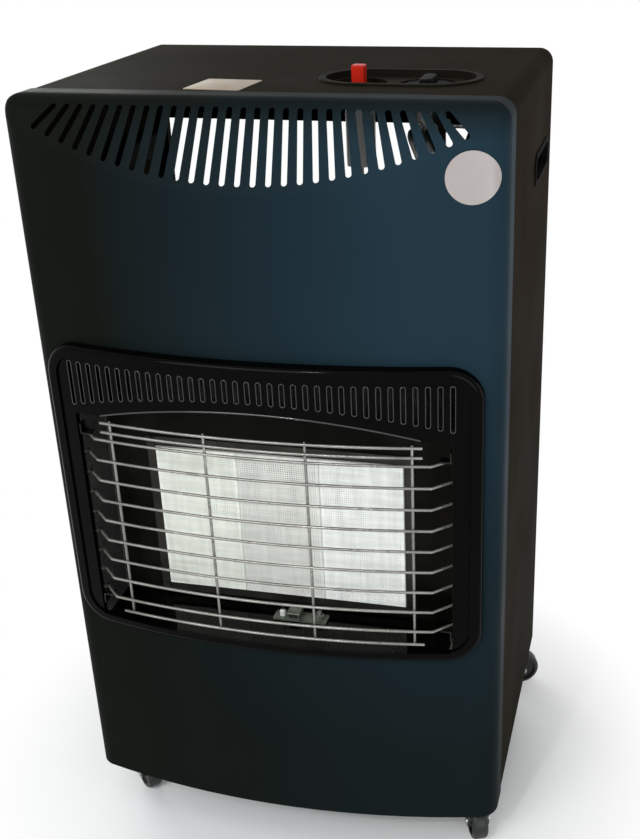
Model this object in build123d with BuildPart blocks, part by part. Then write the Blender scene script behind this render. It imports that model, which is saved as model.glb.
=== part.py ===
from build123d import *
from math import atan, cos, degrees, hypot, pi, radians, sin, sqrt, tan
import os

# Portable gas cabinet heater: bowed front panel, radiant burner behind a wire guard,
# gas tap and piezo igniter on top, cylinder bay behind, four swivel casters.
# Millimetres, +Z up, the front faces -Y. The origin is on the floor under the middle of the object.

os.makedirs("parts", exist_ok=True)

# ---------------------------------------------------------------- overall size
fire_half_width = 171.0      # half the opening of the fire surround: the widths follow from it
surround_side = 24.0         # opening to the outer edge of the surround
panel_side = 15.0            # surround to the side of the cabinet
cabinet_height = 685.0       # sheet body, bottom edge to top
crest_depth = 341.5          # rear edge to the crest of the bowed front
surround_proud = 12.5        # bead of the fire surround in front of the crest
ground_clearance = 45.0      # floor to the bottom edge of the sheet
panel_return = 64.0          # crest of the front back to the seam between wrap and front panel
surround_width = 2 * (fire_half_width + surround_side)
cabinet_width = surround_width + 2 * panel_side
side_depth = crest_depth - panel_return
sheet = 1.0                  # steel sheet of the casings
seam_lap = 4.0               # wrap tucked under the rim of the front panel
seat_gap = 0.2               # between pieces that are fitted against each other

# ---------------------------------------------------------------- bowed front panel
bow_radius = 833.0
corner_radius = 20.0         # vertical front corners
top_corner_radius = 14.0     # upper corners seen from the front
facet_drop = 67.0            # top edge down to the foot of the flat slotted facet, at the middle
facet_angle = 27.5           # facet from the vertical
shoulder_radius = 20.0       # fold from the facet to the top
crease_radius = 10.0         # soft fold from the bow to the facet
panel_slot_count = 29
panel_slot_width = 5.0
panel_slot_pitch_top = 11.6
panel_slot_pitch_foot = 12.72
panel_slot_top_drop = 6.0    # top edge down to the upper ends of the slots
panel_slot_margin = 4.8      # lower ends above the crease of the facet

# ---------------------------------------------------------------- fire surround
surround_height = 285.0
surround_rise = 193.0        # bottom edge of the cabinet up to the bottom of the surround
surround_radius = 30.0
surround_bow = 725.0
surround_sheet = 1.5
surround_lap = 7.0           # surround over the edge of the panel's cut-out
bead_width = 10.0
bead_round = 4.5
bead_rise = 2.0              # bead above the slotted face
surround_slot_count = 35
surround_slot_pitch = 10.02
surround_slot_width = 4.2
slot_top_drop = 14.5         # top of the surround down to the slots
slot_length_middle = 20.5
slot_length_end = 42.0
fire_sill = 9.0              # bottom of the surround up to the opening
arch_drop_middle = 44.0      # top of the surround down to the arch, at the middle
arch_drop_side = 63.5
arch_end = 26.0              # ends of the arch in from the sides of the opening

# ---------------------------------------------------------------- firebox and burner
box_clearance = 0.5          # firebox outside the opening of the surround
box_head_gap = 1.0           # firebox above the arch
firebox_splay = 5.0
firebox_ceiling_fall = 34.0
firebox_sheet = 1.0
plaque_count = 3
plaque_width = 78.7
plaque_height = 147.6
plaque_thickness = 13.0
plaque_joint = 0.3
plaque_rise = 217.0          # bottom edge of the cabinet up to the bottom of the plaques
plaque_setback = 51.0        # crest of the front back to the face of the plaques
plaque_proud = 3.0           # plaques in front of their frame
plaque_seat_gap = 0.3        # round the edges of a plaque
plaque_ledge = 4.0           # ledge in the burner box behind the edge of a plaque
frame_border = 9.0
frame_thickness = 1.5
burner_depth = 38.0
burner_wall = 2.0
plaque_chamfer = 0.6
frame_round = 3.0
burner_round = 3.0
venturi_diameter = 22.0
venturi_throat = 16.0
venturi_length = 52.0
venturi_wall = 1.5
venturi_socket = 6.0         # mixing tube inside its chamber
venturi_flare = 3.0
venturi_cone = 9.0
injector_gap = 3.0
injector_length = 14.0
injector_hex = 10.0
rail_diameter = 12.0
rail_half = 98.0
rail_boss_rise = 1.0
rail_bracket_x = 40.0
second_boss_x = 60.0
bracket_sheet = 1.5
shield_setback = 103.5       # crest of the front back to the heat shield
shield_height = 546.0
shield_lip = 12.0
pilot_setback = 34.0         # crest of the front back to the pilot
pilot_x = 14.0
electrode_x = 2.0
thermocouple_x = 38.0
pilot_stem = 3.0             # radius of the stems through the firebox floor
stem_gap = 0.5
pilot_stem_length = 24.0
pilot_margin = 8.0
pilot_bracket_width = 15.0
pilot_hood = 13.0
pilot_hood_height = 6.5
electrode_tip = 6.0
collar = 4.5                 # radius of the thermocouple's sleeve

# ---------------------------------------------------------------- wire guard
wire = 2.6
guard_bow = 893.0
guard_setback = 3.0          # crest of the wires behind the crest of the surround bead
guard_wire_count = 9
guard_wire_pitch = 20.75
guard_low_rise = 225.2       # bottom edge of the cabinet up to the lowest long wire
guard_side_gap = 18.3        # bends of the long wires in from the sides of the opening
guard_return = 17.5          # each return runs this far back and outwards
guard_bend_radius = 3.5
wire_hole_gap = 1.0          # round the ends of the wires in the firebox
upright_spacing = 91.0
upright_count = 4
upright_overshoot = 1.6      # uprights past the outermost short wires
short_side_gap = 26.0        # ends of the short wires in from the sides of the opening
short_above = (8.0, 17.0)    # short wires above the highest long wire
short_below = 13.7           # short wire below the lowest long wire
weld_sink = 0.5              # how far crossing wires sink into each other
clip_setback = 9.5           # clips behind the bends of the long wires
clip_width = 9.0
clip_height = 10.0
clip_reach = 10.0
clip_sheet = 1.2
clip_wall_gap = 0.9

# ---------------------------------------------------------------- controls on the top
bezel_length = 141.0
bezel_width = 84.0
bezel_inset = 109.4          # side of the cabinet to the middle of the bezel
bezel_setback = 194.0        # rear edge forward to the middle of the bezel
bezel_rim = 4.0
bezel_thickness = 1.8
dish_depth = 5.0
well_depth = 12.0
button_well_offset = 36.6    # from the middle of the bezel
button_well_diameter = 48.0
knob_well_offset = 23.4
knob_well_diameter = 50.0
button_side = 11.2
button_round = 1.2
button_proud = 9.8           # above the top of the cabinet
button_travel = 7.0
slide_clearance = 0.25
knob_diameter = 41.0
knob_height = 7.0
knob_grip_height = 6.0
knob_grip_width = 12.0
knob_lift = 5.0              # underside of the knob above the floor of its well
knob_travel = 4.0
running_clearance = 0.05
spindle_diameter = 8.0
tap_diameter = 30.0
tap_height = 34.0
neck_diameter = 19.0
neck_proud = 1.0             # necks of the tap and the igniter above the floor of their wells
bonnet_thickness = 3.0
plug_top_diameter = 17.0
plug_bottom_diameter = 13.0
plug_length = 24.0
plug_end_gap = 0.3
tang_side = 5.0
tang_depth = 8.0             # square end of the spindle inside the plug
port_diameter = 11.0
port_proud = 3.0
port_rise = 16.0
port_spread = 6.5
magnet_diameter = 14.0
magnet_length = 16.0
knob_flute = 3.0
knob_flutes = 24
knob_taper = 8.0
knob_round = 1.2
knob_skin = 2.0              # top of the grip above the end of the spindle
spring_pocket = 18.0
spring_pocket_depth = 5.0
tap_spring_diameter = 14.0
tap_spring_turns = 3
piezo_diameter = 26.0
piezo_neck_diameter = 22.0
piezo_length = 56.0
plunger_depth = 8.0          # square plunger below the floor of its well
igniter_spring_solid = 8.0   # room left for the spring when the button is pressed
igniter_spring_diameter = 9.5
igniter_spring_turns = 5
spring_wire = 0.9
nozzle_diameter = 9.0
nozzle_length = 30.0
nozzle_barb = 0.8
nozzle_bore = 5.0
nozzle_hex = 17.0

# ---------------------------------------------------------------- side grips
grip_length = 105.0
grip_height = 30.0
grip_setback = 82.0          # rear edge forward to the middle of the grip
grip_rise = 593.0            # bottom edge of the cabinet up to the middle of the grip
grip_cup_depth = 20.0
grip_wall = 1.6
grip_rim = 3.0
grip_proud = 1.6
grip_cup_round = 4.0

# ---------------------------------------------------------------- back and base
rear_recess = 11.0           # rear frame in from the rear edge of the sides
rear_strip = 16.0
rear_top_height = 72.0       # closed band under the top at the back
cover_rise = 12.0            # bottom edge of the cabinet up to the cover
cover_height = 494.0
cover_gap = 0.8
peg_diameter = 5.0
peg_length = 8.0
louvre_count = 7
louvre_pitch = 11.0
louvre_length = 150.0
louvre_height = 4.5
tray_rise = 8.0              # bottom edge of the cabinet up to the underside of the tray
tray_sheet = 1.2
tray_lip = 18.0
tray_vent_length = 50.0
tray_vent_width = 8.0
tray_vent_y = 20.0
tray_vent_columns = 3
tray_vent_rows = 4
tray_vent_pitch_x = 60.0
tray_vent_pitch_y = 19.2
platform_rise = 3.0          # platform for the cylinder above the floor of the tray
platform_gap = 12.0          # round it, to the heat shield and to the rear lip
platform_side_gap = 8.0      # to the screws of the casters
platform_round = 15.0
rear_lip = 8.0               # window of the rear frame bent forward
peg_inset = 25.0             # pegs from the ends of the cover
peg_clearance = 0.3
cover_inset = 0.5            # cover behind the rear edges of the wrap
cover_round = 4.0
cover_margin = 30.0
cover_channel_x = 120.0
channel_width = 12.0
channel_depth = 2.0
louvre_rise = 60.0           # middle of the cover up to the lowest louvre
louvre_depth = 4.0
hand_slot_length = 90.0
hand_slot_height = 24.0

# ---------------------------------------------------------------- casters
caster_inset = 28.0          # side of the cabinet to the swivels
caster_front = 277.0         # rear edge forward to the front swivels
caster_rear = 34.0           # rear edge forward to the rear swivels
caster_plate = 42.0
caster_plate_thickness = 2.0
wheel_diameter = 40.0
wheel_width = 16.0
tread_chamfer = 3.0
caster_trail = 18.0
fork_sheet = 2.2
fork_disc_diameter = 32.0
fork_disc_thickness = 4.0
axle_diameter = 6.0
kingpin_diameter = 9.0
caster_headings = {"front_right": -68.0, "front_left": -45.0, "rear_right": 20.0, "rear_left": 160.0}

caster_plate_round = 5.0
caster_screw_reach = 15.0    # screws from the swivel, each way
swivel_gap = 0.2
fork_gap = 0.6               # cheek to wheel
fork_boss_diameter = 14.0
pin_head_diameter = 13.0
pin_head_height = 1.4
axle_head_diameter = 9.0
axle_head = 1.4
wheel_hub_diameter = 14.0
wheel_recess_outer = 30.0
wheel_recess_depth = 3.0

# ---------------------------------------------------------------- small parts
pipe_diameter = 8.0
pilot_pipe_diameter = 4.0
lead_diameter = 3.5
capillary_diameter = 2.5
tube_sides = 12
line_side_gap = 32.0         # outer plaque to the upright run of the main pipe
line_tap_gap = 26.0          # tap to the same run, at least
line_pitch = 12.0
line_over_shield = 6.0
main_shoulder = 50.0         # where each line turns down, above its pass over the shield
pilot_shoulder = 66.0
capillary_shoulder = 20.0
lead_shoulder = 24.0
lead_foot = 16.0
capillary_foot = 4.0
drop_length = 24.0           # straight run out of the tap and out of the igniter
capillary_reach = 33.0       # first bend of the capillary in front of the tap
lead_reach = 28.0
lead_side = 46.0
second_bow_rise = 39.7       # the second pipe bends forward this far above the rail
second_bow_side = 8.0
second_bow_reach = 26.0
second_bow_foot = 12.0
pilot_bow_rise = 10.5        # the small lines bend forward this far above the foot of the pilot
capillary_bow_rise = 16.5
lead_bow_rise = 12.5
pilot_run_drop = 37.2        # their runs under the firebox, below the foot of the pilot
capillary_run_drop = 19.2
lead_run_drop = 55.2
run_fall = 2.0
pilot_bow_side = 10.0
capillary_bow_side = 8.0
lead_bow_side = 12.0
screw_head = 8.0
screw_head_height = 2.0
screw_shank = 4.0
screw_point = 3.0            # screw past what it holds
screw_clearance = 0.1

# ---------------------------------------------------------------- worked-out places
overall_depth = crest_depth + surround_proud
rear_y = overall_depth / 2
crest_y = rear_y - crest_depth
front_y = -overall_depth / 2
seam_y = rear_y - side_depth
bottom_z = ground_clearance
top_z = bottom_z + cabinet_height
half = cabinet_width / 2
arch_half_width = fire_half_width - arch_end
guard_bend_half = fire_half_width - guard_side_gap
short_half = fire_half_width - short_side_gap
caster_x = half - caster_inset
bezel_x = half - bezel_inset
button_well_x = bezel_x - button_well_offset
knob_well_x = bezel_x + knob_well_offset
wrap_half = half - sheet
wrap_top = top_z - sheet
inner_half = wrap_half - sheet
tray_z = bottom_z + tray_rise
tray_floor = tray_z + tray_sheet
facet_foot_z = top_z - facet_drop
surround_z = bottom_z + surround_rise
surround_top = surround_z + surround_height
face_y = front_y + bead_rise
fire_z = surround_z + fire_sill
plaque_z = bottom_z + plaque_rise
plaque_y = crest_y + plaque_setback
frame_y = plaque_y + plaque_proud
burner_half = plaque_count * plaque_width / 2
shield_y = crest_y + shield_setback
bezel_y = rear_y - bezel_setback
dish_z = top_z - dish_depth
well_floor = dish_z - well_depth
line_x = max(burner_half + line_side_gap, knob_well_x + line_tap_gap)


def save(part, name):
    part.label = name
    export_step(part, f"parts/{name}.step")


def bow_y(x, crest, radius):
    """Y of a bowed front at x."""
    return crest + radius - sqrt(radius**2 - x**2)


def plan_outline(inset, back):
    """Plan of the cabinet's front: bowed, with rounded corners, straight back at y = back."""
    w = half - inset
    corner = bow_y(w, crest_y + inset, bow_radius - inset)
    with BuildSketch() as plan:
        with BuildLine():
            ThreePointArc((-w, corner), (0, crest_y + inset), (w, corner))
            Polyline((w, corner), (w, back), (-w, back), (-w, corner))
        make_face()
        fillet([v for v in plan.vertices() if abs(v.Y - corner) < 1e-3], corner_radius - inset)
    return plan.sketch


def front_view(inset, low, back=0.0):
    """Front view of the casing at y = back, with rounded upper corners."""
    with BuildSketch(Plane.XZ.offset(-back)) as view:
        with BuildLine():
            Polyline((-half + inset, low), (half - inset, low), (half - inset, top_z - inset),
                     (-half + inset, top_z - inset), close=True)
        make_face()
        fillet(view.vertices().group_by(Axis.Y)[-1], top_corner_radius - inset)
    return view.sketch


def side_view(inset, low, back):
    """Side view of the front panel: upright, then the leaning facet, the shoulder and the top."""
    lean = tan(radians(facet_angle))
    shift = inset / cos(radians(facet_angle))
    upper_y = crest_y + shift + lean * (facet_drop - inset)
    lower_y = crest_y + shift - lean * (facet_foot_z - low)
    with BuildSketch(Plane.YZ) as view:
        with BuildLine():
            Polyline((lower_y, low), (upper_y, top_z - inset), (back, top_z - inset),
                     (back, low), close=True)
        make_face()
        shoulder = view.vertices().group_by(Axis.Y)[-1].sort_by(Axis.X)[0]
        fillet(shoulder, shoulder_radius - inset)
    return view.sketch


def front_body(inset, low, back):
    """Solid bowed body bounded by its plan, front view and side view."""
    with BuildPart() as body:
        with BuildSketch(Plane.XY.offset(low)):
            add(plan_outline(inset, back))
        extrude(amount=top_z - inset - low)
        extrude(front_view(inset, low), amount=overall_depth, both=True, mode=Mode.INTERSECT)
        extrude(side_view(inset, low, back), amount=half, both=True, mode=Mode.INTERSECT)
    return body.part


def soft_body(inset, low, back):
    """The same body with the fold from the bow to the facet rounded."""
    with BuildPart() as body:
        add(front_body(inset, low, back))
        crease = body.edges().filter_by(GeomType.ELLIPSE).sort_by(SortBy.LENGTH)[-1]
        fillet(crease, crease_radius - inset)
    return body.part


def rounded_front(width, height, radius, low):
    """Rounded rectangle in the front plane, standing on z = low."""
    with BuildSketch(Plane.XZ) as view:
        with Locations((0, low + height / 2)):
            RectangleRounded(width, height, radius)
    return view.sketch


# ================================================================ front panel
facet_up = Vector(0, sin(radians(facet_angle)), cos(radians(facet_angle)))
facet_out = Vector(0, -cos(radians(facet_angle)), sin(radians(facet_angle)))
facet_plane = Plane(origin=(0, crest_y, facet_foot_z), x_dir=(1, 0, 0), z_dir=facet_out)
facet_scale = 1 / cos(radians(facet_angle))


def crease_v(x):
    """Height along the facet of the crease where it meets the bow."""
    return (bow_y(x, crest_y, bow_radius) - crest_y) / sin(radians(facet_angle))


with BuildPart() as front_panel:
    add(soft_body(0, bottom_z, seam_y))
    add(soft_body(sheet, bottom_z - seam_lap, seam_y + seam_lap), mode=Mode.SUBTRACT)
    # cut-out behind the fire surround
    extrude(rounded_front(surround_width - 2 * surround_lap, surround_height - 2 * surround_lap,
                          surround_radius - surround_lap, surround_z + surround_lap),
            amount=overall_depth / 2, mode=Mode.SUBTRACT)
    # fan of slots in the facet
    slot_v_top = (facet_drop - panel_slot_top_drop) * facet_scale
    with BuildSketch(facet_plane):
        for n in range(panel_slot_count):
            step = n - (panel_slot_count - 1) / 2
            foot_x = step * panel_slot_pitch_foot
            head_x = step * panel_slot_pitch_top
            foot_v = crease_v(foot_x) + panel_slot_margin * facet_scale
            run = slot_v_top - foot_v - panel_slot_width
            drift = head_x - foot_x
            with Locations(((foot_x + head_x) / 2, (slot_v_top + foot_v) / 2)):
                SlotCenterToCenter(hypot(run, drift), panel_slot_width,
                                   rotation=90 - degrees(atan(drift / run)))
    extrude(amount=4 * sheet, both=True, mode=Mode.SUBTRACT)
save(front_panel.part, "front_panel")


# ================================================================ fire surround
def bowed_block(width, height, radius, low, crest, bow, back):
    """Rounded-rectangle block with a bowed front face, ending at y = back."""
    reach = width / 2 + 1
    edge = bow_y(reach, crest, bow)
    with BuildPart() as block:
        extrude(rounded_front(width, height, radius, low), amount=overall_depth, both=True)
        with BuildSketch(Plane.XY.offset(low)):
            with BuildLine():
                ThreePointArc((-reach, edge), (0, crest), (reach, edge))
                Polyline((reach, edge), (reach, back), (-reach, back), (-reach, edge))
            make_face()
        extrude(amount=height, mode=Mode.INTERSECT)
    return block.part


arch_top_z = surround_top - arch_drop_middle
arch_side_z = surround_top - arch_drop_side
slot_reach = (surround_slot_count - 1) / 2 * surround_slot_pitch

with BuildPart() as fire_surround:
    add(bowed_block(surround_width, surround_height, surround_radius, surround_z,
                    front_y, surround_bow, seam_y))
    fillet(fire_surround.faces().sort_by(Axis.Y)[0].edges(), bead_round)
    inner_width = surround_width - 2 * bead_width
    inner_height = surround_height - 2 * bead_width
    extrude(rounded_front(inner_width, inner_height, surround_radius - bead_width,
                          surround_z + bead_width), amount=overall_depth, both=True,
            mode=Mode.SUBTRACT)
    add(bowed_block(inner_width, inner_height, surround_radius - bead_width,
                    surround_z + bead_width, face_y, surround_bow, seam_y))
    add(bowed_block(surround_width - 2 * surround_sheet, surround_height - 2 * surround_sheet,
                    surround_radius - surround_sheet, surround_z + surround_sheet,
                    face_y + surround_sheet, surround_bow, seam_y + 1), mode=Mode.SUBTRACT)
    add(front_body(-seat_gap, bottom_z, seam_y + 2), mode=Mode.SUBTRACT)
    # upright slots that grow longer towards the sides
    with BuildSketch(Plane.XZ):
        for n in range(surround_slot_count):
            x = (n - (surround_slot_count - 1) / 2) * surround_slot_pitch
            length = slot_length_middle + (slot_length_end - slot_length_middle) * (x / slot_reach)**2
            with Locations((x, surround_top - slot_top_drop - length / 2)):
                SlotOverall(length, surround_slot_width, rotation=90)
    extrude(amount=overall_depth, mode=Mode.SUBTRACT)
    # opening with its arched upper edge
    with BuildSketch(Plane.XZ) as opening:
        with BuildLine():
            ThreePointArc((-arch_half_width, arch_side_z), (0, arch_top_z),
                          (arch_half_width, arch_side_z))
            Polyline((arch_half_width, arch_side_z), (fire_half_width, arch_side_z),
                     (fire_half_width, fire_z), (-fire_half_width, fire_z),
                     (-fire_half_width, arch_side_z), (-arch_half_width, arch_side_z))
        make_face()
        corners = [v for v in opening.vertices() if abs(abs(v.X) - fire_half_width) < 1e-3]
        fillet(corners, bead_round)
    extrude(amount=overall_depth, mode=Mode.SUBTRACT)
save(fire_surround.part, "fire_surround")

# ================================================================ firebox behind the guard
box_front_half = fire_half_width + box_clearance
box_back_half = box_front_half - firebox_splay
box_floor = fire_z - box_clearance
box_ceiling = arch_top_z + box_head_gap
deep_floor = box_floor + firebox_splay / 2
deep_ceiling = box_ceiling - firebox_ceiling_fall
back_plate_y = frame_y + frame_thickness
pilot_y = crest_y + pilot_setback


def firebox_block(grow):
    """Tapering block from the surround back to the burner, larger by grow on every side."""
    with BuildPart() as block:
        with BuildSketch(Plane.XZ.offset(-front_y)):
            with Locations((0, (box_floor + box_ceiling) / 2)):
                Rectangle(2 * (box_front_half + grow), box_ceiling - box_floor + 2 * grow)
        with BuildSketch(Plane.XZ.offset(-back_plate_y)):
            with Locations((0, (deep_floor + deep_ceiling) / 2)):
                Rectangle(2 * (box_back_half + grow), deep_ceiling - deep_floor + 2 * grow)
        loft()
    return block.part


guard_y = front_y + guard_setback + wire / 2
guard_low_z = bottom_z + guard_low_rise
guard_rows = [guard_low_z + n * guard_wire_pitch for n in range(guard_wire_count)]
guard_bend_y = bow_y(guard_bend_half, guard_y, guard_bow)
guard_end = (guard_bend_half + guard_return, guard_bend_y + guard_return)
plaque_span = 2 * (burner_half + plaque_seat_gap)
plaque_rise_span = plaque_height + 2 * plaque_seat_gap
plaque_mid_z = plaque_z + plaque_height / 2
frame_span = plaque_span + 2 * frame_border
frame_rise_span = plaque_rise_span + 2 * frame_border
frame_screws = [(sx * (frame_span - frame_border) / 2,
                 plaque_mid_z + sz * (frame_rise_span - frame_border) / 2)
                for sx in (-1, 1) for sz in (-1, 1)]

with BuildPart() as firebox:
    add(firebox_block(firebox_sheet))
    add(firebox_block(0), mode=Mode.SUBTRACT)
    # back plate round the burner
    with BuildSketch(Plane.XZ.offset(-back_plate_y)):
        with Locations((0, (deep_floor + deep_ceiling) / 2)):
            Rectangle(2 * (box_back_half + firebox_sheet),
                      deep_ceiling - deep_floor + 2 * firebox_sheet)
        with Locations((0, plaque_mid_z)):
            Rectangle(plaque_span, plaque_rise_span, mode=Mode.SUBTRACT)
        with Locations(*frame_screws):
            Circle(screw_shank / 2 + screw_clearance, mode=Mode.SUBTRACT)
    extrude(amount=-firebox_sheet)
    # the front edge follows the back of the surround
    with BuildSketch(Plane.XY.offset(bottom_z)):
        with BuildLine():
            reach = box_front_half + 2 * firebox_splay
            edge = bow_y(reach, face_y + surround_sheet + seat_gap, surround_bow)
            ThreePointArc((-reach, edge), (0, face_y + surround_sheet + seat_gap), (reach, edge))
            Polyline((reach, edge), (reach, front_y - surround_proud),
                     (-reach, front_y - surround_proud), (-reach, edge))
        make_face()
    extrude(amount=cabinet_height, mode=Mode.SUBTRACT)
    # holes that take the ends of the guard wires
    with BuildSketch(Plane.YZ):
        with Locations(*[(guard_end[1] - wire_hole_gap, z) for z in guard_rows]):
            Circle(wire / 2 + wire_hole_gap)
    extrude(amount=half, both=True, mode=Mode.SUBTRACT)
    # holes in the floor for the pilot, the electrode and the thermocouple
    with BuildSketch(Plane.XY.offset(box_floor - firebox_splay)):
        with Locations((pilot_x, pilot_y), (thermocouple_x, pilot_y), (electrode_x, pilot_y)):
            Circle(pilot_stem + stem_gap)
    extrude(amount=2 * firebox_splay, mode=Mode.SUBTRACT)
save(firebox.part, "firebox")

# ================================================================ wire guard
with BuildPart() as long_wire:
    with BuildLine() as run:
        ThreePointArc((-guard_bend_half, guard_bend_y), (0, guard_y), (guard_bend_half, guard_bend_y))
        Line((guard_bend_half, guard_bend_y), guard_end)
        Line((-guard_bend_half, guard_bend_y), (-guard_end[0], guard_end[1]))
        fillet([v for v in run.vertices() if abs(abs(v.X) - guard_bend_half) < 1e-3], guard_bend_radius)
    start = run.wire() @ 0
    heading = run.wire() % 0
    with BuildSketch(Plane(origin=start, z_dir=heading)):
        RegularPolygon(wire / 2, 8)
    sweep(path=run.wire())

with BuildPart() as short_wire:
    short_y = bow_y(short_half, guard_y, guard_bow)
    with BuildLine() as run:
        ThreePointArc((-short_half, short_y), (0, guard_y), (short_half, short_y))
    with BuildSketch(Plane(origin=run.wire() @ 0, z_dir=run.wire() % 0)):
        RegularPolygon(wire / 2, 8)
    sweep(path=run.wire())

short_rows = [guard_low_z - short_below] + [guard_rows[-1] + rise for rise in short_above]
upright_low = short_rows[0] - upright_overshoot
upright_high = short_rows[-1] + upright_overshoot
with BuildPart() as wire_guard:
    with Locations(*[(0, 0, z) for z in guard_rows]):
        add(long_wire.part)
    with Locations(*[(0, 0, z) for z in short_rows]):
        add(short_wire.part)
    with BuildSketch(Plane.XY.offset(upright_low)):
        for n in range(upright_count):
            x = (n - (upright_count - 1) / 2) * upright_spacing
            with Locations((x, bow_y(x, guard_y, guard_bow) + wire - weld_sink)):
                RegularPolygon(wire / 2, 8)
    extrude(amount=upright_high - upright_low)
save(wire_guard.part, "wire_guard")

# clips under the lowest and over the highest long wire, on the firebox walls
clip_y = guard_bend_y + clip_setback
clip_depth = (clip_y - clip_width / 2 - front_y) / (back_plate_y - front_y)
clip_wall_x = box_front_half - firebox_splay * clip_depth
with BuildPart() as guard_clips:
    for row, side in ((guard_rows[0], -1), (guard_rows[-1], 1)):
        tab_z = row + side * (wire / 2 + seat_gap + clip_sheet / 2)
        base_z = tab_z + side * (clip_height - clip_sheet) / 2
        for hand in (-1, 1):
            outer = hand * (clip_wall_x - clip_wall_gap)
            with Locations((outer - hand * clip_reach / 2, clip_y, tab_z)):
                Box(clip_reach, clip_width, clip_sheet)
            with Locations((outer - hand * clip_sheet / 2, clip_y, base_z)):
                Box(clip_sheet, clip_width, clip_height)
save(guard_clips.part, "guard_clips")


# ================================================================ burner
def turned(x, y, points):
    """Solid turned about the upright axis through (x, y), from (radius, height) points."""
    with BuildPart() as solid:
        with BuildSketch(Plane(origin=(x, y, 0), x_dir=(1, 0, 0), z_dir=(0, -1, 0))):
            with BuildLine():
                Polyline(*points, close=True)
            make_face()
        revolve(axis=Axis((x, y, 0), (0, 0, 1)))
    return solid.part


def tube(points, radii, diameter):
    """Round pipe along straight runs joined by arcs, one radius for each corner."""
    with BuildPart() as pipe:
        with BuildLine() as route:
            FilletPolyline(*points, radius=radii)
        with BuildSketch(Plane(origin=route.wire() @ 0, z_dir=route.wire() % 0)):
            RegularPolygon(diameter / 2, tube_sides)
        sweep(path=route.wire())
    return pipe.part


plaque_back = plaque_y + plaque_thickness
burner_back = plaque_back + burner_depth
rail_y = (plaque_back + burner_back) / 2
flange_y = back_plate_y + firebox_sheet
chamber_steps = [n - (plaque_count - 1) / 2 for n in range(plaque_count)]
chamber_xs = [step * plaque_width for step in chamber_steps]

for name, x in zip(("plaque_left", "plaque_centre", "plaque_right"), chamber_xs):
    with BuildPart() as plaque:
        with BuildSketch(Plane.XZ.offset(-plaque_back)):
            with Locations((x, plaque_mid_z)):
                Rectangle(plaque_width - plaque_joint, plaque_height)
        extrude(amount=plaque_thickness)
        chamfer(plaque.faces().sort_by(Axis.Y)[0].edges(), plaque_chamfer)
    save(plaque.part, name)

with BuildPart() as burner_frame:
    with BuildSketch(Plane.XZ.offset(-back_plate_y)):
        with Locations((0, plaque_mid_z)):
            RectangleRounded(frame_span, frame_rise_span, frame_round)
            Rectangle(plaque_span, plaque_rise_span, mode=Mode.SUBTRACT)
        with Locations(*frame_screws):
            Circle(screw_shank / 2 + screw_clearance, mode=Mode.SUBTRACT)
    extrude(amount=frame_thickness)
save(burner_frame.part, "burner_frame")

burner_low = plaque_mid_z - plaque_rise_span / 2 - burner_wall
chamber_low = plaque_z + plaque_ledge
with BuildPart() as burner_box:
    with BuildSketch(Plane.XZ.offset(-flange_y)):
        with Locations((0, plaque_mid_z)):
            Rectangle(plaque_span + 2 * burner_wall, plaque_rise_span + 2 * burner_wall)
    extrude(amount=flange_y - burner_back)
    fillet(burner_box.faces().sort_by(Axis.Y)[-1].edges(), burner_round)
    with BuildSketch(Plane.XZ.offset(-flange_y)):
        with Locations((0, plaque_mid_z)):
            RectangleRounded(frame_span, frame_rise_span, frame_round)
        with Locations(*frame_screws):
            Circle(screw_shank / 2 + screw_clearance, mode=Mode.SUBTRACT)
    extrude(amount=-frame_thickness)
    # seat that takes the plaques
    with BuildSketch(Plane.XZ.offset(-flange_y)):
        with Locations((0, plaque_mid_z)):
            Rectangle(plaque_span, plaque_rise_span)
    extrude(amount=flange_y - plaque_back - seat_gap, mode=Mode.SUBTRACT)
    # one mixing chamber behind each plaque
    with BuildSketch(Plane.XZ.offset(-plaque_back)):
        with Locations(*[(x, plaque_mid_z) for x in chamber_xs]):
            Rectangle(plaque_width - 2 * plaque_ledge, plaque_height - 2 * plaque_ledge)
    extrude(amount=burner_wall - burner_depth, mode=Mode.SUBTRACT)
    # sockets of the mixing tubes
    with BuildSketch(Plane.XY.offset(burner_low - 1)):
        with Locations(*[(x, rail_y) for x in chamber_xs]):
            Circle(venturi_diameter / 2 + seat_gap / 2)
    extrude(amount=chamber_low - burner_low + 2, mode=Mode.SUBTRACT)
save(burner_box.part, "burner_box")

venturi_top = chamber_low + venturi_socket
venturi_low = venturi_top - venturi_length
venturi_outer = venturi_diameter / 2
throat_outer = venturi_throat / 2 + venturi_wall
mouth = venturi_outer + venturi_flare
throat_high = burner_low - venturi_cone
throat_low = venturi_low + venturi_cone
with BuildPart() as venturi_tubes:
    for x in chamber_xs:
        add(turned(x, rail_y, [
            (venturi_outer, venturi_top), (venturi_outer, burner_low), (throat_outer, throat_high),
            (throat_outer, throat_low), (mouth, venturi_low), (mouth - venturi_wall, venturi_low),
            (throat_outer - venturi_wall, throat_low), (throat_outer - venturi_wall, throat_high),
            (venturi_outer - venturi_wall, burner_low), (venturi_outer - venturi_wall, venturi_top)]))
save(venturi_tubes.part, "venturi_tubes")

injector_top = venturi_low - injector_gap
injector_seat = injector_top - injector_length
rail_z = injector_seat - rail_boss_rise - rail_diameter / 2
with BuildPart() as injectors:
    for x in chamber_xs:
        with BuildSketch(Plane.XY.offset(injector_seat)):
            with Locations((x, rail_y)):
                RegularPolygon(injector_hex / 2, 6, major_radius=False)
        extrude(amount=injector_length / 2)
        add(turned(x, rail_y, [(0, injector_seat), (injector_hex / 3, injector_seat),
                               (injector_hex / 3, injector_top - injector_hex / 6),
                               (injector_hex / 6, injector_top), (0, injector_top)]))
save(injectors.part, "injectors")

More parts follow.
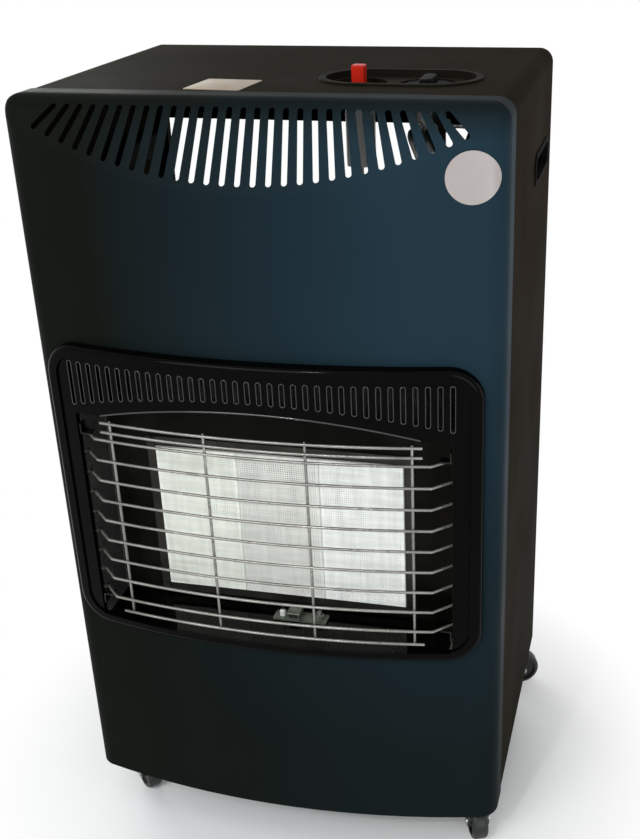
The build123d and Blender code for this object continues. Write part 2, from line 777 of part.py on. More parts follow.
second_port = (second_boss_x, rail_y - rail_diameter / 2 - rail_boss_rise)
with BuildPart() as injector_rail:
    with BuildSketch(Plane.YZ.offset(-rail_half)):
        with Locations((rail_y, rail_z)):
            Circle(rail_diameter / 2)
    extrude(amount=2 * rail_half)
    with BuildSketch(Plane.XY.offset(rail_z)):
        with Locations(*[(x, rail_y) for x in chamber_xs]):
            Circle(rail_diameter / 2 - 0.5)
    extrude(amount=rail_diameter / 2 + rail_boss_rise)
    with BuildSketch(Plane.XZ.offset(-rail_y)):
        with Locations((second_boss_x, rail_z)):
            Circle(rail_diameter / 2 - 0.5)
    extrude(amount=rail_diameter / 2 + rail_boss_rise)
save(injector_rail.part, "injector_rail")

with BuildPart() as rail_brackets:
    reach = shield_y - seat_gap - rail_y + rail_diameter
    for x in (-rail_bracket_x, rail_bracket_x):
        with Locations((x, shield_y - seat_gap - reach / 2, rail_z)):
            Box(bracket_sheet, reach, 2 * rail_diameter)
        with Locations((x, shield_y - seat_gap - bracket_sheet / 2, rail_z)):
            Box(3 * rail_diameter / 2, bracket_sheet, 2 * rail_diameter)
    with BuildSketch(Plane.YZ):
        with Locations((rail_y, rail_z)):
            Circle(rail_diameter / 2 + seat_gap / 2)
    extrude(amount=half, both=True, mode=Mode.SUBTRACT)
save(rail_brackets.part, "rail_brackets")

with BuildPart() as burner_screws:
    for x, z in frame_screws:
        with BuildSketch(Plane.XZ.offset(-back_plate_y + frame_thickness)):
            with Locations((x, z)):
                Circle(screw_head / 2)
        extrude(amount=screw_head_height)
        with BuildSketch(Plane.XZ.offset(-back_plate_y + frame_thickness)):
            with Locations((x, z)):
                Circle(screw_shank / 2)
        extrude(amount=-(2 * frame_thickness + firebox_sheet + screw_point))
save(burner_screws.part, "burner_screws")

# ================================================================ pilot group
pilot_floor = box_floor + firebox_splay / 2 + seat_gap
pilot_top = pilot_floor + bracket_sheet
pilot_spots = [(pilot_x, pilot_y), (electrode_x, pilot_y), (thermocouple_x, pilot_y)]
with BuildPart() as pilot_bracket:
    low_x = electrode_x - pilot_margin
    high_x = thermocouple_x + pilot_margin
    with BuildSketch(Plane.XY.offset(pilot_floor)):
        with Locations(((low_x + high_x) / 2, pilot_y)):
            RectangleRounded(high_x - low_x, pilot_bracket_width, bracket_sheet)
        with Locations(*pilot_spots):
            Circle(pilot_stem + seat_gap / 2, mode=Mode.SUBTRACT)
    extrude(amount=bracket_sheet)
save(pilot_bracket.part, "pilot_bracket")

with BuildPart() as pilot_burner:
    with BuildSketch(Plane.XY.offset(pilot_floor - pilot_stem_length)):
        with Locations((pilot_x, pilot_y)):
            Circle(pilot_stem)
    extrude(amount=pilot_stem_length + bracket_sheet)
    with BuildSketch(Plane.XY.offset(pilot_top)):
        with Locations((pilot_x, pilot_y)):
            Rectangle(pilot_hood, pilot_hood)
    extrude(amount=pilot_hood_height)
    fillet(pilot_burner.faces().sort_by(Axis.Z)[-1].edges(), 1.0)
    with BuildSketch(Plane.XZ.offset(-pilot_y + pilot_hood / 2)):
        with Locations((pilot_x, pilot_top + pilot_hood_height / 2)):
            Rectangle(pilot_hood * 0.6, pilot_hood_height * 0.5)
    extrude(amount=-pilot_hood / 2, mode=Mode.SUBTRACT)
save(pilot_burner.part, "pilot_burner")

lead_end = pilot_floor - pilot_stem_length
with BuildPart() as ignition_electrode:
    tip = pilot_top + pilot_hood_height
    add(turned(electrode_x, pilot_y, [
        (0, lead_end), (pilot_stem, lead_end), (pilot_stem, tip - 2), (pilot_stem / 3, tip),
        (pilot_stem / 3, tip + electrode_tip), (0, tip + electrode_tip)]))
save(ignition_electrode.part, "ignition_electrode")

with BuildPart() as thermocouple:
    add(turned(thermocouple_x, pilot_y, [
        (0, lead_end), (pilot_stem, lead_end), (pilot_stem, pilot_top), (collar, pilot_top),
        (collar, pilot_top + 0.6 * pilot_hood_height), (pilot_stem, pilot_top + 0.7 * pilot_hood_height),
        (pilot_stem * 0.8, pilot_top + 1.2 * pilot_hood_height), (0, pilot_top + 1.3 * pilot_hood_height)]))
save(thermocouple.part, "thermocouple")

# ================================================================ casing
grip_y = rear_y - grip_setback
grip_z = bottom_z + grip_rise
with BuildPart() as cabinet_wrap:
    extrude(front_view(sheet, bottom_z, rear_y), amount=rear_y - seam_y + seam_lap)
    extrude(front_view(2 * sheet, bottom_z - seam_lap, rear_y + seam_lap), amount=overall_depth,
            mode=Mode.SUBTRACT)
    with BuildSketch(Plane.XY.offset(wrap_top - top_corner_radius)):
        with Locations((bezel_x, bezel_y)):
            SlotOverall(bezel_length - 2 * bezel_rim + 2 * seat_gap,
                        bezel_width - 2 * bezel_rim + 2 * seat_gap)
    extrude(amount=2 * top_corner_radius, mode=Mode.SUBTRACT)
    with BuildSketch(Plane.YZ):
        with Locations((grip_y, grip_z)):
            SlotOverall(grip_length - 2 * grip_rim + 2 * seat_gap,
                        grip_height - 2 * grip_rim + 2 * seat_gap)
    extrude(amount=cabinet_width, both=True, mode=Mode.SUBTRACT)
save(cabinet_wrap.part, "cabinet_wrap")

strip_y = rear_y - rear_recess
window_half = inner_half - rear_strip
window_low = tray_z + tray_lip + sheet + seat_gap
window_high = top_z - rear_top_height
window_mid = (window_low + window_high) / 2
cover_half = inner_half - cover_gap
cover_low = bottom_z + cover_rise
cover_mid = cover_low + cover_height / 2
peg_x = (window_half + inner_half) / 2
peg_spots = [(sx * peg_x, cover_mid + sz * (cover_height / 2 - peg_inset))
             for sx in (-1, 1) for sz in (-1, 1)]
with BuildPart() as rear_frame:
    extrude(front_view(2 * sheet + seat_gap, tray_z, strip_y + sheet), amount=sheet)
    with BuildSketch(Plane.XZ.offset(-strip_y - sheet)):
        with Locations((0, window_mid)):
            Rectangle(2 * (window_half + sheet), window_high - window_low + 2 * sheet)
    extrude(amount=sheet + rear_lip)
    with BuildSketch(Plane.XZ.offset(-strip_y - sheet)):
        with Locations((0, window_mid)):
            Rectangle(2 * window_half, window_high - window_low)
        with Locations(*peg_spots):
            Circle(peg_diameter / 2 + peg_clearance)
    extrude(amount=2 * rear_lip, mode=Mode.SUBTRACT)
save(rear_frame.part, "rear_frame")

cover_face = rear_y - cover_inset
with BuildPart() as rear_cover:
    with BuildSketch(Plane.XZ.offset(-cover_face)):
        with Locations((0, cover_mid)):
            RectangleRounded(2 * cover_half, cover_height, cover_round)
    extrude(amount=cover_face - strip_y - sheet - seat_gap)
    with BuildSketch(Plane.XZ.offset(sheet - cover_face)):
        with Locations((0, cover_mid)):
            RectangleRounded(2 * (cover_half - sheet), cover_height - 2 * sheet, cover_round - sheet)
    extrude(amount=rear_recess, mode=Mode.SUBTRACT)
    # upright channels pressed inwards
    channel_run = cover_height - 2 * cover_margin
    with BuildSketch(Plane.XZ.offset(sheet - cover_face)):
        with Locations(*[(x, cover_mid) for x in (-cover_channel_x, cover_channel_x)]):
            SlotOverall(channel_run, channel_width + 2 * sheet, rotation=90)
    extrude(amount=channel_depth)
    with BuildSketch(Plane.XZ.offset(-cover_face)):
        with Locations(*[(x, cover_mid) for x in (-cover_channel_x, cover_channel_x)]):
            SlotOverall(channel_run - 2 * sheet, channel_width, rotation=90)
    extrude(amount=channel_depth, mode=Mode.SUBTRACT)
    # pegs that pass through the strips of the frame
    with BuildSketch(Plane.XZ.offset(sheet - cover_face)):
        with Locations(*peg_spots):
            Circle(peg_diameter / 2)
    extrude(amount=cover_face - sheet - strip_y + peg_length)
    # louvres, pressed inwards
    louvre_rows = [cover_mid + louvre_rise + n * louvre_pitch for n in range(louvre_count)]
    with BuildSketch(Plane.XZ.offset(-cover_face)):
        with Locations(*[(0, z) for z in louvre_rows]):
            Rectangle(louvre_length, louvre_height)
        with Locations((0, cover_low + cover_height - cover_margin)):
            SlotOverall(hand_slot_length, hand_slot_height)
    extrude(amount=2 * sheet, mode=Mode.SUBTRACT)
    for z in louvre_rows:
        hinge_z = z + louvre_height / 2
        inner = cover_face - sheet
        with BuildSketch(Plane.YZ.offset(-louvre_length / 2)):
            with BuildLine():
                Polyline((inner, hinge_z), (inner, hinge_z + sheet), (inner - louvre_depth, z),
                         (inner - louvre_depth, z - sheet), close=True)
            make_face()
        extrude(amount=louvre_length)
save(rear_cover.part, "rear_cover")

tray_inset = 2 * sheet + seat_gap
caster_spots = {
    "front_right": (caster_x, rear_y - caster_front), "front_left": (-caster_x, rear_y - caster_front),
    "rear_right": (caster_x, rear_y - caster_rear), "rear_left": (-caster_x, rear_y - caster_rear)}
caster_screw_spots = [(x + sx * caster_screw_reach, y + sy * caster_screw_reach)
                      for x, y in caster_spots.values() for sx in (-1, 1) for sy in (-1, 1)]
platform_half = caster_x - caster_screw_reach - screw_head / 2 - platform_side_gap
platform_front = shield_y + shield_lip + platform_gap
platform_back = strip_y - seat_gap - tray_sheet - platform_gap
platform_y = (platform_front + platform_back) / 2
with BuildPart() as base_tray:
    with BuildSketch(Plane.XY.offset(tray_z)):
        add(plan_outline(tray_inset, strip_y - seat_gap))
    extrude(amount=tray_lip)
    with BuildSketch(Plane.XY.offset(tray_floor)):
        add(plan_outline(tray_inset + tray_sheet, strip_y - seat_gap - tray_sheet))
    extrude(amount=tray_lip, mode=Mode.SUBTRACT)
    # platform pressed up under the cylinder
    with BuildSketch(Plane.XY.offset(tray_z)):
        with Locations((0, platform_y)):
            RectangleRounded(2 * platform_half, platform_back - platform_front, platform_round)
    extrude(amount=tray_sheet + platform_rise)
    with BuildSketch(Plane.XY.offset(tray_z)):
        with Locations((0, platform_y)):
            RectangleRounded(2 * (platform_half - tray_sheet),
                             platform_back - platform_front - 2 * tray_sheet, platform_round - tray_sheet)
    extrude(amount=platform_rise, mode=Mode.SUBTRACT)
    with BuildSketch(Plane.XY.offset(tray_z)):
        with Locations((0, tray_vent_y)):
            with GridLocations(tray_vent_pitch_x, tray_vent_pitch_y, tray_vent_columns, tray_vent_rows):
                SlotOverall(tray_vent_length, tray_vent_width)
        with Locations(*caster_screw_spots):
            Circle(screw_shank / 2 + screw_clearance)
    extrude(amount=tray_sheet + platform_rise, mode=Mode.SUBTRACT)
save(base_tray.part, "base_tray")

shield_half = half - tray_inset - tray_sheet - seat_gap
shield_low = tray_floor + seat_gap
with BuildPart() as heat_shield:
    with BuildSketch(Plane.XY.offset(shield_low)):
        with Locations((0, shield_y + shield_lip / 2)):
            Rectangle(2 * shield_half, shield_lip)
    extrude(amount=shield_height)
    with BuildSketch(Plane.XY.offset(shield_low)):
        with Locations((0, shield_y + sheet + shield_lip / 2)):
            Rectangle(2 * (shield_half - sheet), shield_lip)
    extrude(amount=shield_height - sheet, mode=Mode.SUBTRACT)
save(heat_shield.part, "heat_shield")

# ================================================================ side grips
with BuildPart() as grip_right:
    grip_plane = Plane(origin=(wrap_half, grip_y, grip_z), x_dir=(0, 1, 0), z_dir=(1, 0, 0))
    cup_length = grip_length - 2 * grip_rim
    cup_height = grip_height - 2 * grip_rim
    with BuildSketch(grip_plane):
        SlotOverall(grip_length, grip_height)
    extrude(amount=grip_proud)
    fillet(grip_right.faces().sort_by(Axis.X)[-1].edges(), grip_proud / 2)
    with BuildSketch(grip_plane):
        SlotOverall(cup_length, cup_height)
    extrude(amount=-grip_cup_depth)
    fillet(grip_right.faces().sort_by(Axis.X)[0].edges(), grip_cup_round)
    with BuildSketch(grip_plane.offset(grip_proud)):
        SlotOverall(cup_length - 2 * grip_wall, cup_height - 2 * grip_wall)
    extrude(amount=-(grip_cup_depth + grip_proud - grip_wall), mode=Mode.SUBTRACT)
save(grip_right.part, "grip_right")

with BuildPart() as grip_left:
    mirror(grip_right.part, about=Plane.YZ)
save(grip_left.part, "grip_left")

# ================================================================ controls on the top
tap_x = knob_well_x
dish_under = dish_z - bezel_thickness
well_under = well_floor - bezel_thickness
wells = [(button_well_x, button_well_diameter), (knob_well_x, knob_well_diameter)]
with BuildPart() as control_bezel:
    with BuildSketch(Plane.XY.offset(wrap_top)):
        with Locations((bezel_x, bezel_y)):
            SlotOverall(bezel_length, bezel_width)
    extrude(amount=bezel_thickness)
    fillet(control_bezel.faces().sort_by(Axis.Z)[-1].edges(), bezel_thickness / 2)
    with BuildSketch(Plane.XY.offset(dish_under)):
        with Locations((bezel_x, bezel_y)):
            SlotOverall(bezel_length - 2 * bezel_rim, bezel_width - 2 * bezel_rim)
    extrude(amount=wrap_top - dish_under)
    for x, diameter in wells:
        with BuildSketch(Plane.XY.offset(well_under)):
            with Locations((x, bezel_y)):
                Circle(diameter / 2 + bezel_thickness)
        extrude(amount=dish_under - well_under)
    with BuildSketch(Plane.XY.offset(dish_z)):
        with Locations((bezel_x, bezel_y)):
            SlotOverall(bezel_length - 2 * bezel_rim - 2 * bezel_thickness,
                        bezel_width - 2 * bezel_rim - 2 * bezel_thickness)
    extrude(amount=well_depth, mode=Mode.SUBTRACT)
    for x, diameter in wells:
        with BuildSketch(Plane.XY.offset(well_floor)):
            with Locations((x, bezel_y)):
                Circle(diameter / 2)
        extrude(amount=well_depth, mode=Mode.SUBTRACT)
    for x, diameter in ((button_well_x, piezo_neck_diameter), (knob_well_x, neck_diameter)):
        with BuildSketch(Plane.XY.offset(well_under)):
            with Locations((x, bezel_y)):
                Circle(diameter / 2 + seat_gap)
        extrude(amount=2 * bezel_thickness, mode=Mode.SUBTRACT)
save(control_bezel.part, "control_bezel")

body_top = well_under - bonnet_thickness
body_low = body_top - tap_height
neck_top = well_floor + neck_proud
with BuildPart() as tap_bonnet:
    spindle_bore = spindle_diameter / 2 + running_clearance
    add(turned(tap_x, bezel_y, [
        (spindle_bore, body_top), (tap_diameter / 2, body_top), (tap_diameter / 2, well_under),
        (neck_diameter / 2, well_under), (neck_diameter / 2, neck_top), (spindle_bore, neck_top)]))
save(tap_bonnet.part, "tap_bonnet")

plug_top = body_top - plug_end_gap
plug_low = plug_top - plug_length
port_z = body_low + port_rise
front_port_y = bezel_y - tap_diameter / 2 - port_proud
side_port_x = tap_x + tap_diameter / 2 + port_proud
rear_port_y = bezel_y + tap_diameter / 2 + port_proud
magnet_low = body_low - magnet_length
front_ports = (tap_x - port_spread, tap_x + port_spread)
with BuildPart() as gas_tap_body:
    with BuildSketch(Plane.XY.offset(body_low)):
        with Locations((tap_x, bezel_y)):
            Circle(tap_diameter / 2)
    extrude(amount=tap_height)
    with BuildSketch(Plane.XY.offset(magnet_low)):
        with Locations((tap_x, bezel_y)):
            Circle(magnet_diameter / 2)
    extrude(amount=magnet_length)
    with BuildSketch(Plane.XZ.offset(-bezel_y)):
        with Locations(*[(x, port_z) for x in front_ports]):
            Circle(port_diameter / 2)
    extrude(amount=bezel_y - front_port_y)
    with BuildSketch(Plane.XZ.offset(-bezel_y)):
        with Locations((tap_x, port_z)):
            Circle(port_diameter / 2)
    extrude(amount=bezel_y - rear_port_y)
    with BuildSketch(Plane.YZ.offset(tap_x)):
        with Locations((bezel_y, port_z)):
            Circle(port_diameter / 2)
    extrude(amount=side_port_x - tap_x)
    # taper bore of the plug
    add(turned(tap_x, bezel_y, [
        (0, plug_low - plug_end_gap),
        (plug_bottom_diameter / 2 + running_clearance, plug_low - plug_end_gap),
        (plug_bottom_diameter / 2 + running_clearance, plug_low),
        (plug_top_diameter / 2 + running_clearance, plug_top),
        (plug_top_diameter / 2 + running_clearance, body_top + 1), (0, body_top + 1)]),
        mode=Mode.SUBTRACT)
save(gas_tap_body.part, "gas_tap_body")

tang_low = plug_top - tang_depth
shank_low = plug_top + knob_travel + plug_end_gap
with BuildPart() as tap_plug:
    add(turned(tap_x, bezel_y, [(0, plug_low), (plug_bottom_diameter / 2, plug_low),
                                (plug_top_diameter / 2, plug_top), (0, plug_top)]))
    with BuildSketch(Plane.XY.offset(tang_low - knob_travel - plug_end_gap)):
        with Locations((tap_x, bezel_y)):
            Rectangle(tang_side + 2 * slide_clearance, tang_side + 2 * slide_clearance)
    extrude(amount=plug_length, mode=Mode.SUBTRACT)
save(tap_plug.part, "tap_plug")

knob_low = well_floor + knob_lift
knob_disc_top = knob_low + knob_height
knob_top = knob_disc_top + knob_grip_height
with BuildPart() as tap_spindle:
    with BuildSketch(Plane.XY.offset(tang_low)):
        with Locations((tap_x, bezel_y)):
            Rectangle(tang_side, tang_side)
    extrude(amount=shank_low - tang_low)
    with BuildSketch(Plane.XY.offset(shank_low)):
        with Locations((tap_x, bezel_y)):
            Circle(spindle_diameter / 2)
    extrude(amount=knob_top - knob_skin - shank_low)
save(tap_spindle.part, "tap_spindle")

with BuildPart() as control_knob:
    with BuildSketch(Plane.XY.offset(knob_low)):
        with Locations((tap_x, bezel_y)):
            Circle(knob_diameter / 2)
    extrude(amount=knob_height)
    # shallow flutes round the rim
    with BuildSketch(Plane.XY.offset(knob_low)):
        with Locations((tap_x, bezel_y)):
            with PolarLocations(knob_diameter / 2 + knob_flute / 2, knob_flutes):
                Circle(knob_flute)
    extrude(amount=knob_height, mode=Mode.SUBTRACT)
    # grip bar across the knob
    with BuildSketch(Plane.XY.offset(knob_disc_top)):
        with Locations((tap_x, bezel_y)):
            SlotOverall(knob_diameter - 2 * knob_flute, knob_grip_width, rotation=90)
    extrude(amount=knob_grip_height, taper=knob_taper)
    fillet(control_knob.faces().sort_by(Axis.Z)[-1].edges(), knob_round)
    with BuildSketch(Plane.XY.offset(knob_low)):
        with Locations((tap_x, bezel_y)):
            Circle(spring_pocket / 2)
    extrude(amount=spring_pocket_depth, mode=Mode.SUBTRACT)
    with BuildSketch(Plane.XY.offset(knob_low)):
        with Locations((tap_x, bezel_y)):
            Circle(spindle_diameter / 2 + running_clearance)
    extrude(amount=knob_top - knob_skin - knob_low, mode=Mode.SUBTRACT)
save(control_knob.part, "control_knob")


def coil(x, y, radius, low, high, turns):
    """Upright coil spring, its axis through (x, y), made of quarter-turn arcs."""
    steps = int(turns * 8)
    inner = radius - spring_wire / 2
    points = []
    for n in range(steps + 1):
        turn = 2 * pi * turns * n / steps
        rise = low + spring_wire / 2 + (high - low - spring_wire) * n / steps
        points.append((x + inner * cos(turn), y + inner * sin(turn), rise))
    with BuildPart() as spring:
        with BuildLine() as run:
            for n in range(0, steps, 2):
                ThreePointArc(points[n], points[n + 1], points[n + 2])
        with BuildSketch(Plane(origin=run.wire() @ 0, z_dir=run.wire() % 0)):
            RegularPolygon(spring_wire / 2, 6)
        sweep(path=run.wire())
    return spring.part


tap_spring_low = neck_top + seat_gap
tap_spring_high = knob_low + spring_pocket_depth - seat_gap
tap_spring = coil(tap_x, bezel_y, tap_spring_diameter / 2, tap_spring_low, tap_spring_high,
                  tap_spring_turns)
save(tap_spring, "tap_spring")

# igniter: body hung under the well, with a square plunger
piezo_low = well_under - piezo_length
plunger_low = well_floor - plunger_depth
button_top = top_z + button_proud
plunger_bore_low = plunger_low - button_travel - igniter_spring_solid
with BuildPart() as piezo_body:
    add(turned(button_well_x, bezel_y, [
        (0, piezo_low), (piezo_diameter / 2, piezo_low), (piezo_diameter / 2, well_under),
        (piezo_neck_diameter / 2, well_under), (piezo_neck_diameter / 2, well_floor + neck_proud),
        (0, well_floor + neck_proud)]))
    with BuildSketch(Plane.XY.offset(plunger_bore_low)):
        with Locations((button_well_x, bezel_y)):
            Rectangle(button_side + 2 * slide_clearance, button_side + 2 * slide_clearance)
    extrude(amount=piezo_length, mode=Mode.SUBTRACT)
save(piezo_body.part, "piezo_body")

with BuildPart() as igniter_button:
    with BuildSketch(Plane.XY.offset(plunger_low)):
        with Locations((button_well_x, bezel_y)):
            Rectangle(button_side, button_side)
    extrude(amount=button_top - plunger_low)
    fillet(igniter_button.edges().filter_by(Axis.Z), button_round)
    fillet(igniter_button.faces().sort_by(Axis.Z)[-1].edges(), button_round)
save(igniter_button.part, "igniter_button")

igniter_spring_low = plunger_bore_low + seat_gap
igniter_spring_high = plunger_low - seat_gap
igniter_spring = coil(button_well_x, bezel_y, igniter_spring_diameter / 2, igniter_spring_low,
                      igniter_spring_high, igniter_spring_turns)
save(igniter_spring, "igniter_spring")

# barbed hose nozzle at the back of the tap
with BuildPart() as inlet_nozzle:
    barb = nozzle_diameter / 2
    step = nozzle_length / 5
    with BuildSketch(Plane(origin=(tap_x, rear_port_y, port_z), x_dir=(0, 0, 1), z_dir=(1, 0, 0))):
        with BuildLine():
            Polyline((nozzle_bore / 2, 0), (barb, 0), (barb, -step),
                     (barb + nozzle_barb, -step), (barb, -2 * step), (barb + nozzle_barb, -2 * step),
                     (barb, -3 * step), (barb + nozzle_barb, -3 * step), (barb - nozzle_barb, -5 * step),
                     (nozzle_bore / 2, -5 * step), close=True)
        make_face()
    revolve(axis=Axis((tap_x, rear_port_y, port_z), (0, 1, 0)))
    with BuildSketch(Plane.XZ.offset(-rear_port_y)):
        with Locations((tap_x, port_z)):
            RegularPolygon(nozzle_hex / 2, 6, major_radius=False)
            Circle(nozzle_bore / 2, mode=Mode.SUBTRACT)
    extrude(amount=-step)
save(inlet_nozzle.part, "inlet_nozzle")

# ================================================================ pipes and leads
line_xs = {"main": line_x, "second": line_x - line_pitch, "pilot": line_x + line_pitch,
           "capillary": line_x + 1.6 * line_pitch, "lead": line_x + 2.4 * line_pitch}
line_high = shield_low + shield_height + line_over_shield
second_bow_z = rail_z + second_bow_rise
pilot_bow_z = lead_end + pilot_bow_rise
capillary_bow_z = lead_end + capillary_bow_rise
lead_bow_z = lead_end + lead_bow_rise
riser_y = pilot_y
pipe_bend = 3 * pipe_diameter / 2

pipe_main = tube([
    (front_ports[1], front_port_y, port_z), (front_ports[1], front_port_y - line_pitch * 2, port_z),
    (line_xs["main"], rail_y, line_high + main_shoulder), (line_xs["main"], rail_y, rail_z),
    (rail_half, rail_y, rail_z)], [pipe_bend, pipe_bend, 2 * pipe_bend], pipe_diameter)
save(pipe_main, "pipe_main")

pipe_second = tube([
    (front_ports[0], front_port_y, port_z), (front_ports[0], front_port_y - line_pitch * 2, port_z),
    (line_xs["second"], rail_y, line_high + main_shoulder), (line_xs["second"], rail_y, second_bow_z),
    (line_xs["second"] - second_bow_side, rail_y - second_bow_reach, rail_z + second_bow_foot),
    (second_port[0], rail_y - second_bow_reach, rail_z), (second_port[0], second_port[1], rail_z)],
    [pipe_bend, pipe_bend, pipe_bend, pipe_bend, pipe_bend], pipe_diameter)
save(pipe_second, "pipe_second")

pilot_pipe = tube([
    (side_port_x, bezel_y, port_z), (line_xs["pilot"], bezel_y, port_z),
    (line_xs["pilot"], rail_y, line_high + pilot_shoulder), (line_xs["pilot"], rail_y, pilot_bow_z),
    (line_xs["pilot"] - pilot_bow_side, riser_y, lead_end - pilot_run_drop + run_fall),
    (pilot_x, riser_y, lead_end - pilot_run_drop), (pilot_x, riser_y, lead_end)],
    [10.0, 20.0, 20.0, 20.0, 20.0], pilot_pipe_diameter)
save(pilot_pipe, "pilot_pipe")

capillary = tube([
    (tap_x, bezel_y, magnet_low), (tap_x, bezel_y, magnet_low - drop_length),
    (line_xs["capillary"], bezel_y - capillary_reach, line_high + capillary_shoulder),
    (line_xs["capillary"], rail_y, line_high - capillary_foot),
    (line_xs["capillary"], rail_y, capillary_bow_z),
    (line_xs["capillary"] - capillary_bow_side, riser_y, lead_end - capillary_run_drop + run_fall),
    (thermocouple_x, riser_y, lead_end - capillary_run_drop), (thermocouple_x, riser_y, lead_end)],
    [13.0, 15.0, 15.0, 15.0, 15.0, 13.0], capillary_diameter)
save(capillary, "thermocouple_capillary")

igniter_lead = tube([
    (button_well_x, bezel_y, piezo_low), (button_well_x, bezel_y, piezo_low - drop_length),
    (button_well_x + lead_side, bezel_y - lead_reach, line_high + lead_shoulder),
    (line_xs["lead"], rail_y, line_high + lead_foot), (line_xs["lead"], rail_y, lead_bow_z),
    (line_xs["lead"] - lead_bow_side, riser_y, lead_end - lead_run_drop + run_fall),
    (electrode_x, riser_y, lead_end - lead_run_drop), (electrode_x, riser_y, lead_end)],
    [18.0, 18.0, 18.0, 18.0, 18.0, 18.0], lead_diameter)
save(igniter_lead, "igniter_lead")

with BuildPart() as pipe_clips:
    plate_span = line_xs["lead"] - line_xs["second"] + 2 * line_pitch
    plate_x = (line_xs["lead"] + line_xs["second"]) / 2
    reach = shield_y - seat_gap - rail_y + line_pitch
    for z in (shield_low + 0.45 * shield_height, shield_low + 0.9 * shield_height):
        with Locations((plate_x, shield_y - seat_gap - reach / 2, z)):
            Box(plate_span, reach, bracket_sheet)
        with Locations((plate_x, shield_y - seat_gap - bracket_sheet / 2, z + line_pitch / 2)):
            Box(plate_span, bracket_sheet, line_pitch)
    with BuildSketch(Plane.XY.offset(shield_low)):
        for name, diameter in (("main", pipe_diameter), ("second", pipe_diameter),
                               ("pilot", pilot_pipe_diameter), ("capillary", capillary_diameter),
                               ("lead", lead_diameter)):
            with Locations((line_xs[name], rail_y)):
                Circle(diameter / 2 + seat_gap)
    extrude(amount=shield_height, mode=Mode.SUBTRACT)
save(pipe_clips.part, "pipe_clips")

# ================================================================ casters
axle_z = wheel_diameter / 2
plate_low = tray_z - caster_plate_thickness
race_low = plate_low - fork_disc_thickness
fork_top = race_low - swivel_gap
fork_inner = wheel_width / 2 + fork_gap
fork_outer = fork_inner + fork_sheet
pin_head_top = fork_top - fork_sheet - swivel_gap

with BuildPart() as caster_plates:
    for x, y in caster_spots.values():
        with BuildSketch(Plane.XY.offset(plate_low)):
            with Locations((x, y)):
                RectangleRounded(caster_plate, caster_plate, caster_plate_round)
        extrude(amount=caster_plate_thickness)
        add(turned(x, y, [
            (0, pin_head_top - pin_head_height), (pin_head_diameter / 2, pin_head_top - pin_head_height),
            (pin_head_diameter / 2, pin_head_top), (kingpin_diameter / 2, pin_head_top),
            (kingpin_diameter / 2, race_low), (fork_disc_diameter / 2, race_low),
            (fork_disc_diameter / 2, plate_low), (0, plate_low)]))
    with BuildSketch(Plane.XY.offset(plate_low)):
        with Locations(*caster_screw_spots):
            Circle(screw_shank / 2 + screw_clearance)
    extrude(amount=caster_plate_thickness, mode=Mode.SUBTRACT)
save(caster_plates.part, "caster_plates")

with BuildPart() as caster_screws:
    with BuildSketch(Plane.XY.offset(plate_low)):
        with Locations(*caster_screw_spots):
            Circle(screw_shank / 2)
    extrude(amount=tray_floor - plate_low)
    with BuildSketch(Plane.XY.offset(tray_floor)):
        with Locations(*caster_screw_spots):
            Circle(screw_head / 2)
    extrude(amount=screw_head_height)
save(caster_screws.part, "caster_screws")

with BuildPart() as fork:
    with BuildSketch(Plane.XZ.offset(-fork_outer)):
        with Locations((caster_trail, axle_z)):
            Circle(fork_boss_diameter / 2)
        with Locations((0, fork_top - fork_sheet / 2)):
            Rectangle(fork_disc_diameter - 2, fork_sheet)
        make_hull()
    extrude(amount=2 * fork_outer)
    with BuildSketch(Plane.XY.offset(-axle_z)):
        Rectangle(4 * wheel_diameter, 2 * fork_inner)
    extrude(amount=axle_z + fork_top - fork_sheet, mode=Mode.SUBTRACT)
    with BuildSketch(Plane.XY.offset(fork_top - fork_sheet)):
        Circle(fork_disc_diameter / 2)
    extrude(amount=fork_sheet)
    with BuildSketch(Plane.XY.offset(axle_z)):
        Circle(kingpin_diameter / 2 + running_clearance)
    extrude(amount=fork_top, mode=Mode.SUBTRACT)
    with BuildSketch(Plane.XZ):
        with Locations((caster_trail, axle_z)):
            Circle(axle_diameter / 2 + running_clearance)
    extrude(amount=2 * fork_outer, both=True, mode=Mode.SUBTRACT)

with BuildPart() as axle:
    with BuildSketch(Plane.XZ.offset(-fork_outer)):
        with Locations((caster_trail, axle_z)):
            Circle(axle_diameter / 2)
    extrude(amount=2 * fork_outer)
    for face_y_local, direction in ((fork_outer, -1), (-fork_outer, 1)):
        with BuildSketch(Plane.XZ.offset(-face_y_local)):
            with Locations((caster_trail, axle_z)):
                Circle(axle_head_diameter / 2)
        extrude(amount=direction * axle_head)

with BuildPart() as wheel:
    with BuildSketch(Plane.XZ.offset(-wheel_width / 2)):
        with Locations((caster_trail, axle_z)):
            Circle(wheel_diameter / 2)
    extrude(amount=wheel_width)
    chamfer(wheel.edges(), tread_chamfer)
    for side in (-1, 1):
        with BuildSketch(Plane.XZ.offset(side * wheel_width / 2)):
            with Locations((caster_trail, axle_z)):
                Circle(wheel_recess_outer / 2)
                Circle(wheel_hub_diameter / 2, mode=Mode.SUBTRACT)
        extrude(amount=-side * wheel_recess_depth, mode=Mode.SUBTRACT)
    with BuildSketch(Plane.XZ):
        with Locations((caster_trail, axle_z)):
            Circle(axle_diameter / 2 + running_clearance)
    extrude(amount=wheel_width, both=True, mode=Mode.SUBTRACT)

for corner, (x, y) in caster_spots.items():
    place = Location((x, y, 0), (0, 0, caster_headings[corner]))
    for name, source in (("fork", fork), ("axle", axle), ("wheel", wheel)):
        with BuildPart() as placed:
            with Locations(place):
                add(source.part)
        save(placed.part, f"caster_{name}_{corner}")
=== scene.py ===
import math

import bmesh
import bpy
from mathutils import Matrix, Vector


